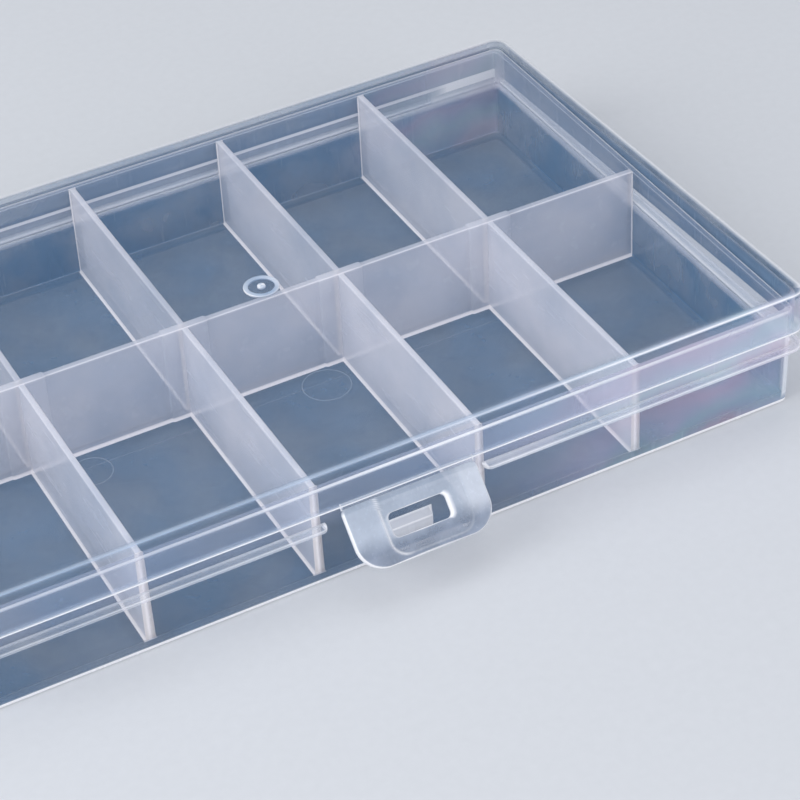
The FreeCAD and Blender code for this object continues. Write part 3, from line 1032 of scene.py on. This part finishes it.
@dataclass
class Hinge:
    """The back hinge: a lip on the ledge, a lip on the skirt and the thin film that folds between them."""

    length: float = 100.0
    lip_edge: float = 44.7
    base_root: float = 42.95
    lid_root: float = 42.9
    ledge_top: float = 10.4
    skirt_bottom: float = 10.6
    lip: float = 0.8
    film: float = 0.3
    fold: float = 0.45
    round: float = 0.15

    def lip_section(self, root: float, low: float) -> tuple[Array, Array]:
        """Cross-section of a lip, with two rounded edges at its nose.

        Args:
            root: Place where it meets the moulding.
            low: Height of its underside.

        Returns:
            The points and their whiteness.
        """
        high = low + self.lip
        nose = self.lip_edge - self.round
        section = np.vstack([
            [(root, low), (root + 0.9, low)],
            arc((nose, low + self.round), self.round, 270, 360),
            arc((nose, high - self.round), self.round, 0, 90),
            [(root + 0.9, high), (root, high)],
        ])
        # The nose's rounded edges carry a painted highlight.
        return section, np.array([0.4, 0.1] + [1.0] * 10 + [0.1, 0.4])

    def build(self, tray: Material, lid: Material, film: Material,
              turn: Turn) -> list[Piece]:
        """Makes both lips and the film.

        Args:
            tray: The tray's plastic.
            lid: The lid's plastic.
            film: The film's plastic.
            turn: The lid's turn from closed to ajar.

        Returns:
            The pieces.
        """
        ends = np.array([(0.0, 0.0), (0.0, 0.8), (0.05, 0.94), (0.15, 1.0), (0.6, 1.0), (16.0, 1.0),
                         (34.0, 1.0)])
        pieces = []
        for name, node, body, root, low, finish, slot in (
                ("base_lip", "base_hinge_lip", Body.BASE, self.base_root, self.ledge_top - self.lip, tray,
                 Slot.TRAY),
                ("lid_lip", "lid_hinge_lip", Body.LID, self.lid_root, self.skirt_bottom, lid, Slot.LID)):
            section, edge = self.lip_section(root, low)
            centre = ((root + self.lip_edge) / 2, low + self.lip / 2)
            patch = bar(self.length, section, edge, 0.3, ends, centre)
            if body is Body.LID:
                patch.points = turn.apply(patch.points)
            pieces.append(make_piece(name, [patch], finish, slot, body, node))
        pieces.append(self.build_film(film, turn))
        return pieces

    def build_film(self, finish: Material, turn: Turn) -> Piece:
        """Makes the film: a half ring of even thickness, folded round the hinge line.

        Args:
            finish: The film's plastic.
            turn: The lid's turn from closed to ajar.

        Returns:
            The film, folded for the ajar lid and tied to no body.
        """
        middle = (self.ledge_top + self.skirt_bottom) / 2
        inner = self.fold - self.film / 2
        outer = self.fold + self.film / 2
        angle = np.radians(np.linspace(-90, 90 - abs(turn.degrees), 17))
        x = np.concatenate([[-self.length / 2, -self.length / 2 + 0.3], np.linspace(-40, 40, 9),
                            [self.length / 2 - 0.3, self.length / 2]])
        skins = []
        for radius in (inner, outer):
            y = self.lip_edge - 0.02 + radius * np.cos(angle)
            z = middle + radius * np.sin(angle)
            grid = np.broadcast_arrays(x[:, None], y[None, :], z[None, :])
            skins.append(np.stack(grid, axis=-1))
        # Painted highlight on the film's ends.
        edge = np.where(np.abs(x) > self.length / 2 - 0.1, 1.0, 0.35)[:, None]
        piece = make_piece("hinge_web", closed_sheet(skins, edge, 0.4, 1.0, 0.5), finish, Slot.FILM, None,
                           "hinge_film")
        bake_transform(piece)
        return piece


@dataclass
class Nib:
    """The catch on the front wall: a ramp on top, a flat nose and bevelled ends."""

    width: float = 7.9
    low: float = 4.0
    height: float = 2.5
    reach: float = 1.3
    foot: float = 0.1
    ridge: float = 1.6
    shift: float = 0.4
    front: float = -41.7
    rim: float = 16.4
    draft: float = 1.0

    def build(self, finish: Material) -> Piece:
        """Carries the ramped cross-section along the nib; its reach falls to nothing over each end's bevel.

        Args:
            finish: The tray's plastic.

        Returns:
            The nib.
        """
        nose = self.low + self.foot
        soft = 0.12
        section = np.array([
            (-0.1, self.low), (0.0, self.low), (self.reach - soft, nose - 0.4 * soft),
            (self.reach, nose + soft), (self.reach, nose + self.ridge - soft),
            (self.reach - soft, nose + self.ridge + 0.6 * soft),
            (0.8 * self.reach, 0.8 * (nose + self.ridge) + 0.2 * (self.low + self.height)),
            (0.2 * self.reach, 0.2 * (nose + self.ridge) + 0.8 * (self.low + self.height)),
            (0.0, self.low + self.height), (-0.1, self.low + self.height)])
        # Painted highlights on the nib's edges and its bevelled ends.
        edge = np.array([0.4, 0.9, 0.9, 0.25, 0.25, 1.0, 0.3, 0.3, 0.9, 0.4])
        ends = np.array([0.0, 0.12, 0.3, 0.44, 0.56, 1.4])
        size = np.array([0.0, 0.3, 0.66, 0.92, 1.0, 1.0])
        x = np.concatenate([ends - self.width / 2, [0.0], (self.width / 2 - ends)[::-1]])
        share = np.concatenate([size, [1.0], size[::-1]])[:, None]
        out = np.where(section[None, :, 0] > 0, section[None, :, 0] * share, section[None, :, 0])
        high = np.broadcast_to(section[None, :, 1], out.shape)
        y = self.front + (self.rim - high) * math.tan(math.radians(self.draft)) - out
        points = np.stack([np.broadcast_to(x[:, None] + self.shift, out.shape), y, high], axis=-1)
        white = np.maximum(edge[None, :], (share < 0.95) * 1.0)
        patch = Patch(points, white, 0.5, loop_columns=True)
        caps = [ladder(points[i, :5], points[i, :4:-1], 0.9, 0.5) for i in (0, -1)]
        return make_piece("catch", [patch] + caps, finish, Slot.TRAY, Body.BASE, "catch_nib")


@dataclass
class FloorMarks:
    """Moulding marks on the floor: rings left by the ejector pins and a fine line beside the centre wall."""

    floor: float = 1.2
    width: float = 0.22
    rise: float = 0.05
    pins: tuple[Triple, ...] = ((6.8, -4.9, 3.6), (-30.3, -5.1, 3.0))
    line: float = -4.2
    runs: tuple[Span, ...] = ((-11.2, 11.2), (13.6, 35.6), (-35.6, -13.6))

    def build(self, finish: Material) -> Piece:
        """Makes each ring by turning a low bump about its pin, and each line by drawing the bump along X.

        Args:
            finish: The tray's plastic.

        Returns:
            The marks.
        """
        bump = np.array([(-0.5, -0.02), (-0.3, 0.8), (0.3, 0.8), (0.5, -0.02)]) * (self.width, self.rise)
        bump[[0, -1], 1] = -0.02
        patches = []
        for x, y, size in self.pins:
            points = turned(bump + (size, 0.0), (x, y), self.floor, 64)
            # The marks carry a faint painted highlight.
            patches.append(Patch(points, 0.35, 0.3, loop_rows=True, loop_columns=True))
        for left, right in self.runs:
            x = np.array([left, left + 0.4, right - 0.4, right])
            size = np.array([0.0, 0.6, 0.6, 0.0])[:, None]
            points = np.stack(np.broadcast_arrays(
                x[:, None], self.line + size * bump[None, :, 0], self.floor + bump[None, :, 1]), axis=-1)
            patches.append(Patch(points, 0.3, 0.2, loop_columns=True))
        return make_piece("floor_marks", patches, finish, Slot.TRAY, Body.BASE)


@dataclass
class Lid:
    """The lid: a thin plate with a softened edge and a skirt that comes down round the tray's rim."""

    half_length: float = 63.9
    half_width: float = 43.0
    top: float = 17.3
    plate: float = 0.7
    wall: float = 1.0
    skirt: float = 10.6
    corner: float = 2.4
    inner_corner: float = 1.5
    top_edge: float = 0.5
    skirt_edge: float = 0.18
    fillet: float = 0.35
    twist: float = 0.18
    gate: Span = (0.0, -0.5)
    gate_radius: float = 2.6
    gate_width: float = 0.7
    gate_rise: float = 0.25
    stub_radius: float = 0.6
    stub_rise: float = 0.4
    steps: int = 72
    # Haze
    plate_haze: float = 0.055
    edge_haze: float = 0.5
    skirt_haze: float = 0.72
    side_gain: float = 0.2
    skin_haze: float = 0.5
    side_skin: float = 0.3
    front_haze: float = 0.07
    crest_clear: Span = (0.55, 0.25)
    # Whiteness and paleness
    blush: float = 0.2
    # Fading of the painted top-edge highlight at the front left, painted highlight on the skirt's corners,
    # and along the shoulder.
    dim: float = 0.8
    corner_white: float = 0.4
    shoulder: float = 0.8
    skin_pale: Span = (0.9, 0.35)
    # Zones along X, each from its start to its end
    right: Span = (8.0, 48.0)
    dim_x: Span = (40.0, -20.0)
    # Painted highlight over the hinge: heights of its line above the skirt's edge; whiteness under it, in it,
    # in the band
    hinge_line: Span = (1.15, 1.65)
    hinge_shares: Triple = (0.25, 1.0, 0.95)
    turn: Turn = field(default_factory=lambda: Turn(45.15, 10.5, -1.65))

    def set_ajar(self, points: Array) -> Array:
        """Turns closed-lid points to the ajar lid, with the slight twist that sinks its left front corner.

        The twist is a drop that grows with the distance to the left and with the distance from the hinge.

        Args:
            points: Points of the closed lid.

        Returns:
            Points of the ajar lid.
        """
        turned = self.turn.apply(points)
        forward = ramp(points[..., 1], self.turn.y, -self.half_width)
        turned[..., 2] += self.twist * (points[..., 0] / self.half_length - 1) / 2 * forward
        return turned

    def profile(self) -> Profile:
        """Cross-section from the middle of the top, down the outside of the skirt and back up the inside.

        Returns:
            The cross-section with its whiteness and haze.
        """
        under = self.top - self.plate
        low = self.skirt + self.skirt_edge
        milk = self.edge_haze
        line = Profile()
        # The whiteness along the section is painted highlight: on the top edge's rounding, the skirt's lower
        # edge and, faintly, the inner fillet.
        line.add([self.half_width, 30.0, 14.0, 5.0, 2.6, 1.3], self.top, [0, 0, 0, 0, 0, 0.07],
                 self.plate_haze * np.array([1, 1, 1, 1, 1, 1.6]))
        line.add(*arc((self.top_edge, self.top - self.top_edge), self.top_edge, 90, 180, 7).T,
                 [0.2, 0.3, 0.55, 0.95, 0.7, 0.25, 0.0], milk)
        line.add(0.0, [16.4, 15.6, 14.0, 12.4, self.skirt + 0.46, self.skirt + 0.34],
                 [0, 0, 0, 0, 0, 0.9], milk)
        line.add(*arc((self.skirt_edge, low), self.skirt_edge, 180, 270).T, [1.0, 1.0, 1.0, 1.0, 0.8], milk)
        line.add(*arc((self.wall - self.skirt_edge, low), self.skirt_edge, 270, 360).T,
                 [0.3, 0.25, 0.25, 0.2, 0.1], milk)
        line.add(self.wall, self.skirt + np.array([0.3, 0.6, 1.1, 1.2, 1.6, 1.7, 2.1, 3.4, 5.0]), 0.0, milk)
        line.add(*arc((self.wall + self.fillet, under - self.fillet), self.fillet, 180, 90).T,
                 [0.1, 0.2, 0.3, 0.3, 0.25], milk)
        line.add([1.7, 2.4, 5.0, 14.0, 30.0, self.half_width], under, [0.1, 0, 0, 0, 0, 0], self.plate_haze)
        return line

    def turned_mark(self, section: Array, edge: Array, haze: float, closed: bool) -> Patch:
        """Turns a cross-section about the gate's upright line; its painted glints are whitest to the left and
        right.

        Args:
            section: Radius and height above the plate of each point.
            edge: Whiteness of each point.
            haze: Haze of the mark.
            closed: Whether the cross-section is a closed loop.

        Returns:
            The surface of revolution, on the ajar lid.
        """
        points = turned(section, self.gate, self.top, self.steps)
        angle = np.linspace(0, 2 * np.pi, self.steps, endpoint=False)
        # Painted glints, whitest to the left and right.
        white = edge[:, None] * (0.5 + 0.5 * np.cos(angle) ** 2)
        return Patch(self.set_ajar(points), white, haze, loop_rows=closed, loop_columns=True, pale=1.0)

    def shares(self, wrap: Wrap) -> tuple[Array, Array, Array]:
        """Whiteness, haze and paleness of the lid, which differ from side to side.

        The front skirt is clear and grows milky to the right, and its upper edge is clearer at the left, with
        its painted highlight faded there. The other skirts are deeper inside and paler outside, with a
        painted highlight along the shoulder. On the back skirt's inner face, a painted highlight stands over
        the hinge in a thin line above a faint band, and beyond its ends in one band.

        Args:
            wrap: The lid's cross-section, carried round and set ajar.

        Returns:
            The three shares at each point.
        """
        x, y, _ = np.moveaxis(wrap.points, -1, 0)
        inset, high = wrap.inset, wrap.high
        inner_x = self.half_length - self.wall
        inner_y = self.half_width - self.wall
        upright = (high < self.top - 0.8) & (inset < self.wall + 0.01)
        outside = ramp(inset, 0.5, 0.0)
        front, back = [ramp(way * y, inner_y - 0.6, inner_y - 0.2) for way in (-1, 1)]
        side = ramp(np.abs(x), inner_x - 0.6, inner_x - 0.2)
        right = ramp(x, *self.right)
        crest = (high > self.top - 0.6) * front
        dim = crest * ramp(x, *self.dim_x)

        veil = self.front_haze * (0.5 + 0.5 * outside) + self.blush * right * outside
        inner = self.skirt_haze + self.side_gain * side
        skin = self.skin_haze + self.side_skin * side
        milk = np.where(upright, mix(inner, skin, outside), wrap.haze)
        milk = mix(milk, veil, front * upright)
        milk = milk * (1 - self.crest_clear[0] * crest - self.crest_clear[1] * dim)

        # Painted highlight over the hinge on the back skirt's inner face: a thin line above a faint band, one
        # band beyond its ends.
        low, top = self.hinge_line
        faint, thin, full = self.hinge_shares
        rise = high - self.skirt
        line = np.where(rise < low, faint, thin * (rise < top))
        lit = mix(line, full * (rise < top), beyond_hinge(wrap.points))
        lit = lit * back * (inset > self.wall - 0.2) * (inset < self.wall + 0.01)
        # Painted highlights: the section's edges and the skirt's corners, with the whitening to the right of
        # the front.
        white = most(wrap.edge, self.corner_white * upright * wrap.corner,
                     0.7 * self.blush * right * outside * front * upright)
        # Painted highlight along the shoulder, off the front; the front's top-edge highlight faded to the
        # left.
        shoulder = (inset > 0.2) & (inset < 0.55) & (high > self.top - 0.2)
        white = most(white * (1 - self.dim * dim), self.shoulder * shoulder * (1 - front), lit)

        plate = (high > self.top - self.plate - 0.01) & (inset > 2.0)
        return white, milk, most(front, plate, mix(*self.skin_pale, side) * outside * upright)

    def build(self, finish: Material) -> list[Piece]:
        """Makes the lid and the round mark where its mould was filled.

        Args:
            finish: The lid's plastic.

        Returns:
            The pieces.
        """
        ring = Ring(self.half_length, self.half_width, self.corner, self.inner_corner, stops=HINGE_ENDS)
        wrap = ring.wrap(self.profile())
        wrap.points = self.set_ajar(wrap.points)
        white, milk, pale = self.shares(wrap)
        shell = Patch(wrap.points, white, milk, loop_columns=True, pale=pale)
        inner = self.gate_radius - self.gate_width
        soft = 0.1
        ring_section = np.vstack([
            [(inner, -0.05), (inner, self.gate_rise - soft)],
            arc((inner + soft, self.gate_rise - soft), soft, 180, 90, 4),
            arc((self.gate_radius - soft, self.gate_rise - soft), soft, 90, 0, 4),
            [(self.gate_radius, -0.05)]])
        # Painted highlight, brightest on the ring's outer rounding.
        white = np.array([0.2, 0.25, 0.4, 0.45, 0.45, 0.4, 0.5, 0.8, 1.0, 1.0, 0.9])
        mark = self.turned_mark(ring_section, white, 0.5, True)
        dome = np.vstack([[(0.0, -0.05), (self.stub_radius, -0.05), (self.stub_radius, 0.2)],
                          arc((self.stub_radius - 0.2, 0.2), 0.2, 0, 90, 5),
                          [(0.15, self.stub_rise), (0.0, 0.36)]])
        stub = self.turned_mark(dome, np.array([0.5, 0.6] + [0.9] * 8), 0.6, False)
        return [make_piece(name, [patch], finish, Slot.LID, Body.LID, node) for name, patch, node in (
            ("lid_moulding", shell, "lid_shell"), ("gate_ring", mark, "gate_mark"),
            ("gate_nub", stub, "gate_stub"))]


@dataclass
class Latch:
    """The latch: a tab with a slot, rounded all round, dished about its slot and hung on a thin film."""

    width: float = 20.1
    top: float = 9.9
    low: float = 0.65
    thickness: float = 1.0
    lower_corner: float = 3.8
    upper_corner: float = 0.8
    bevel: float = 0.75
    slot_width: float = 8.6
    slot_low: float = 3.9
    slot_high: float = 7.3
    slot_corner: float = 0.8
    film: float = 0.3
    skirt: float = 10.6
    shift: float = 0.4
    y: float = -42.5
    edge_round: float = 0.3
    dish: float = 0.13
    dish_x: float = 0.9
    dish_half: float = 3.9
    dish_low: float = 3.6
    dish_radius: float = 2.2
    rim: float = 0.19
    pale_z: Span = (2.8, 5.3)
    haze: float = 0.8
    lean: Turn = field(default_factory=lambda: Turn(-42.5, 10.25, -43.0))

    def outline(self, half: float, low: float, high: float, below: float, above: float) -> Array:
        """Closed outline of a rounded rectangle with its own radius below and above.

        Args:
            half: Half width.
            low: Lowest height.
            high: Highest height.
            below: Radius of the lower corners.
            above: Radius of the upper corners.

        Returns:
            Points x and z, anticlockwise from the lower right corner.
        """
        return np.vstack([
            arc((half - below, low + below), below, 270, 360, 13),
            arc((half - above, high - above), above, 0, 90, 9),
            arc((above - half, high - above), above, 90, 180, 9),
            arc((below - half, low + below), below, 180, 270, 13)])

    def at_angles(self, outline: Array, middle: Array, angles: Array) -> Array:
        """Points where rays from a middle meet an outline, found by interpolation over the ray's angle.

        Args:
            outline: Points of a closed outline that the middle sees whole.
            middle: Start of the rays.
            angles: Their angles.

        Returns:
            One point per ray.
        """
        seen = np.arctan2(outline[:, 1] - middle[1], outline[:, 0] - middle[0])
        order = np.argsort(seen)
        seen = seen[order]
        ring = outline[order]
        ahead = np.concatenate([seen[-1:] - 2 * np.pi, seen, seen[:1] + 2 * np.pi])
        ring = np.vstack([ring[-1:], ring, ring[:1]])
        spot = np.clip(np.searchsorted(ahead, angles, side="right") - 1, 0, len(ahead) - 2)
        start = ring[spot]
        way = ring[spot + 1] - start
        ray = np.stack([np.cos(angles), np.sin(angles)], axis=1)
        gap = start - middle
        cross = ray[:, 0] * way[:, 1] - ray[:, 1] * way[:, 0]
        reach = (gap[:, 0] * way[:, 1] - gap[:, 1] * way[:, 0]) / np.where(np.abs(cross) < 1e-9, 1e-9, cross)
        return middle + ray * reach[:, None]

    def from_dish(self, x: Array, z: Array) -> Array:
        """Distance from the dish's rim, below 0 inside it: that from a line under the slot, less a radius."""
        side = np.maximum(np.abs(x - self.dish_x) - self.dish_half, 0)
        return np.hypot(side, np.maximum(self.dish_low - z, 0)) - self.dish_radius

    def whiteness(self, x: Array, z: Array, distance: Array, border: Array) -> Array:
        """Painted highlights of the tab: its outline and the dish's rim, both stronger on the left, its slot
        and its right side are whitened.

        Args:
            x: Places across the tab.
            z: Their heights.
            distance: Their distance from the slot's edge.
            border: Their distance from the outline.

        Returns:
            The whiteness at each point.
        """
        inner = border - self.rim
        # Painted highlights on the outline, stronger to the left, on the slot's edge and on the dish's rim.
        edge = np.where(inner < 0, 0.9, np.clip(0.35 - inner * 2.5, 0, 0.35))
        edge *= np.clip((self.top - z - 0.2) / 0.6, 0.1, 1) * mix(0.7, 1.0, ramp(x, 4.0, -4.0))
        reach = mix(0.16, 0.66, ramp(x, self.slot_width / 2 - 0.6, self.slot_width / 2 - 0.1))
        slot = np.clip(1.2 - distance / reach, 0, 0.95)
        flank = mix(0.25, 0.75, ramp(x, -2.5, -4.0)) * ramp(np.abs(self.from_dish(x, z)), 0.3, 0.0)
        return most(edge, slot, flank, 0.2 * ramp(x, 5.5, 7.5) * ramp(z, 2.5, 4.5))

    def build_tab(self, finish: Material, lid: Lid) -> Piece:
        """Makes the tab: a cross-section from the slot to the outline and back, carried round the slot.

        Each point lies on a line from the slot's edge to the outline. Its depth is the half thickness,
        thinned near the top by the bevel, less the dish on the front, and rounded towards the outline.

        Args:
            finish: The latch's plastic.
            lid: The lid that carries it.

        Returns:
            The tab.
        """
        half = self.width / 2
        outer = self.outline(half, self.low, self.top, self.lower_corner, self.upper_corner)
        inner = self.outline(self.slot_width / 2, self.slot_low, self.slot_high, self.slot_corner,
                             self.slot_corner)
        middle = np.array([0.0, (self.slot_low + self.slot_high) / 2])
        corners = np.vstack([outer, inner]) - middle
        angles = np.unique(np.round(np.concatenate([np.arctan2(corners[:, 1], corners[:, 0]),
                                                    np.linspace(-np.pi, np.pi, 181)[:-1]]), 4))
        outside = self.at_angles(outer, middle, angles)
        inside = self.at_angles(inner, middle, angles)
        span = np.linalg.norm(outside - inside, axis=1)
        way = (outside - inside) / span[:, None]
        soft = arc((0.0, 0.0), self.edge_round, 0, 90, 5)[::-1]
        face = np.linspace(0, 1, 34)[1:-1]
        near = self.edge_round
        start = 0.15
        distance = np.vstack([
            np.array([0.0, 0.05, start])[:, None] + np.zeros(len(span)),
            start + face[:, None] * (span - near - start),
            (span - near)[None, :] + soft[:, :1]])
        depth = np.concatenate([[0.7, 0.9, 1.0], np.ones(len(face)), (soft[:, 1] + 0.5 - near) / 0.5])
        plan = inside[None] + way[None] * distance[..., None]
        x = plan[..., 0]
        z = plan[..., 1]
        thin = self.film / 2 + (self.thickness - self.film) / 2 * ramp(z, self.top, self.top - self.bevel)
        sunk = ramp(self.from_dish(x, z), 0.2, -0.2)
        dished = self.dish * sunk * ramp(z, self.top - 0.4, self.top - 1.2)
        edge = self.whiteness(x, z, distance, span - distance)
        front = np.stack([x + self.shift, self.y - depth[:, None] * thin + dished, z], axis=-1)
        back = np.stack([x + self.shift, self.y + depth[:, None] * thin, z], axis=-1)
        haze = self.haze * (1 - 0.25 * sunk)
        skins = [lid.turn.apply(self.lean.apply(skin)) for skin in (front, back)]
        pale = ramp(z, *self.pale_z)
        patches = [Patch(skin, edge, haze, loop_columns=True, pale=pale) for skin in skins]
        # Painted highlights on the slot's wall and, fainter, the outer edge.
        for i, glow in ((0, 1.0), (-1, 0.55)):
            strip = np.stack([skins[0][i], skins[1][i]])
            patches.append(Patch(strip, glow, 0.6, loop_columns=True))
        return make_piece("latch_tab_moulding", patches, finish, Slot.LATCH, Body.LATCH, "latch_tab")

    def build_film(self, finish: Material, lid: Lid) -> Piece:
        """Makes the film: a strip of even thickness along a curve from the skirt's edge to the tab's top.

        The curve is a parabola through the two ends with its bend at the fold line.

        Args:
            finish: The film's plastic.
            lid: The lid that carries it.

        Returns:
            The film, shaped between the ajar lid and the leaning tab and tied to no body.
        """
        start = np.array([0.0, self.y, self.skirt + 0.12])
        bend = np.array([0.0, self.y, self.lean.z])
        end = self.lean.apply(np.array([0.0, self.y, self.top - 0.12]))
        step = np.linspace(0, 1, 13)[:, None]
        line = (1 - step) ** 2 * start + 2 * step * (1 - step) * bend + step ** 2 * end
        way = np.gradient(line, axis=0)
        way /= np.linalg.norm(way, axis=1)[:, None]
        across = np.stack([np.zeros(13), -way[:, 2], way[:, 1]], axis=1)
        half = self.width / 2 - 0.15
        x = np.concatenate([[-half, -half + 0.3], np.linspace(-8, 8, 5), [half - 0.3, half]])
        skins = []
        for sign in (-1, 1):
            skin = line[None] + sign * across[None] * self.film / 2 + np.zeros((len(x), 1, 1))
            skin[..., 0] += x[:, None] + self.shift
            skins.append(lid.turn.apply(skin))
        # The film's end strips carry a painted highlight.
        piece = make_piece("latch_web", closed_sheet(skins, 0.0, 0.12, 0.9, 0.4), finish, Slot.FILM, None,
                           "latch_film")
        ends = lid.turn.apply(np.stack([start, end])) * MM
        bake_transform(piece)
        return piece

    def build(self, finish: Material, film: Material, lid: Lid) -> list[Piece]:
        """Makes the tab and its film, and returns them."""
        return [self.build_tab(finish, lid), self.build_film(film, lid)]


@dataclass(frozen=True)
class Lamp:
    """A soft square lamp that faces the box, with its place and its side in metres."""

    name: str
    place: Triple
    size: float
    watts: float
    code: str

    def build(self) -> None:
        """Hangs the lamp."""
        data = bpy.data.lights.new(self.name, "AREA")
        data.size = self.size
        data.energy = self.watts
        data.color = linear(self.code)[:3]
        lamp = add_object(self.name, data)
        lamp.location = self.place
        way = Vector((0, 0, 0.01)) - Vector(self.place)
        lamp.rotation_euler = way.to_track_quat("-Z", "Y").to_euler()


@dataclass
class Studio:
    """Pale paper floor, soft lamps and the camera at the photograph's place."""

    lens: float = 117.55
    sensor: float = 36.0
    eye: Triple = (-114.845, -278.176, 234.915)
    right: Triple = (0.8808, -0.4711, -0.0469)
    up: Triple = (0.3259, 0.5315, 0.7818)
    back: Triple = (-0.3434, -0.7039, 0.6217)
    floor_half: float = 1.6
    floor_z: float = -0.00002
    sky: str = "#e9edf2"
    sky_strength: float = 0.46
    lamps: tuple[Lamp, ...] = (Lamp("window", (-0.8, -0.05, 0.55), 0.6, 6.4, "#ffffff"),
                               Lamp("ceiling", (0.1, 0.25, 1.1), 0.9, 2.6, "#f6f9ff"),
                               Lamp("fill", (0.3, -0.95, 0.5), 0.7, 5.4, "#fdfbff"))

    def build_camera(self) -> None:
        """Places the camera, with its three axes made exactly square to one another."""
        data = bpy.data.cameras.new("camera")
        data.lens = self.lens
        data.sensor_width = self.sensor
        data.clip_start = 0.01
        turn, _, other = np.linalg.svd(np.array([self.right, self.up, self.back]))
        place = np.eye(4)
        place[:3, :3] = (turn @ other).T
        place[:3, 3] = np.array(self.eye) * MM
        camera = add_object("camera", data)
        camera.matrix_world = Matrix(place.tolist())
        bpy.context.scene.camera = camera

    def build_floor(self) -> None:
        """Lays the paper a hair under the rest face."""
        steps = np.linspace(-self.floor_half, self.floor_half, 9)
        x, y = np.meshgrid(steps, steps, indexing="ij")
        sheet = Patch(np.stack([x, y, np.full(x.shape, self.floor_z)], axis=-1), 0.0, 0.0)
        mesh = bpy.data.meshes.new("paper_floor")
        mesh.from_pydata(sheet.points.reshape(-1, 3), [], sheet.faces(0).tolist())
        mesh.materials.append(PaperSweep().build())
        floor = add_object("paper_floor", mesh)

    def build(self) -> None:
        """Makes the floor, the lamps, the sky and the camera."""
        self.build_floor()
        for lamp in self.lamps:
            lamp.build()
        world = bpy.data.worlds.new("studio")
        tree = cleared_tree(world)
        sky = add_node(tree, "Background", {"Color": linear(self.sky), "Strength": self.sky_strength})
        add_node(tree, "OutputWorld", {"Surface": sky})
        scene = bpy.context.scene
        scene.world = world
        scene.view_settings.view_transform = "Standard"
        scene.cycles.transparent_max_bounces = 40
        scene.cycles.diffuse_bounces = 2
        self.build_camera()


def main() -> None:
    """Builds the studio and every moulding."""
    logging.basicConfig(level=logging.INFO, format="%(name)s %(message)s")
    Studio().build()
    finishes = Finishes()
    plastic = {part.name: getattr(finishes, part.name).build() for part in fields(finishes)}
    lid = Lid()
    Tray().build(plastic["tray"])
    Cells().build(plastic["divider"])
    Ledge().build(plastic["ledge"])
    Nib().build(plastic["ledge"])
    FloorMarks().build(plastic["tray"])
    lid.build(plastic["lid"])
    Hinge().build(plastic["ledge"], plastic["lid"], plastic["film"], lid.turn)
    Latch().build(plastic["latch"], plastic["film"], lid)


if __name__ == "__main__":
    main()
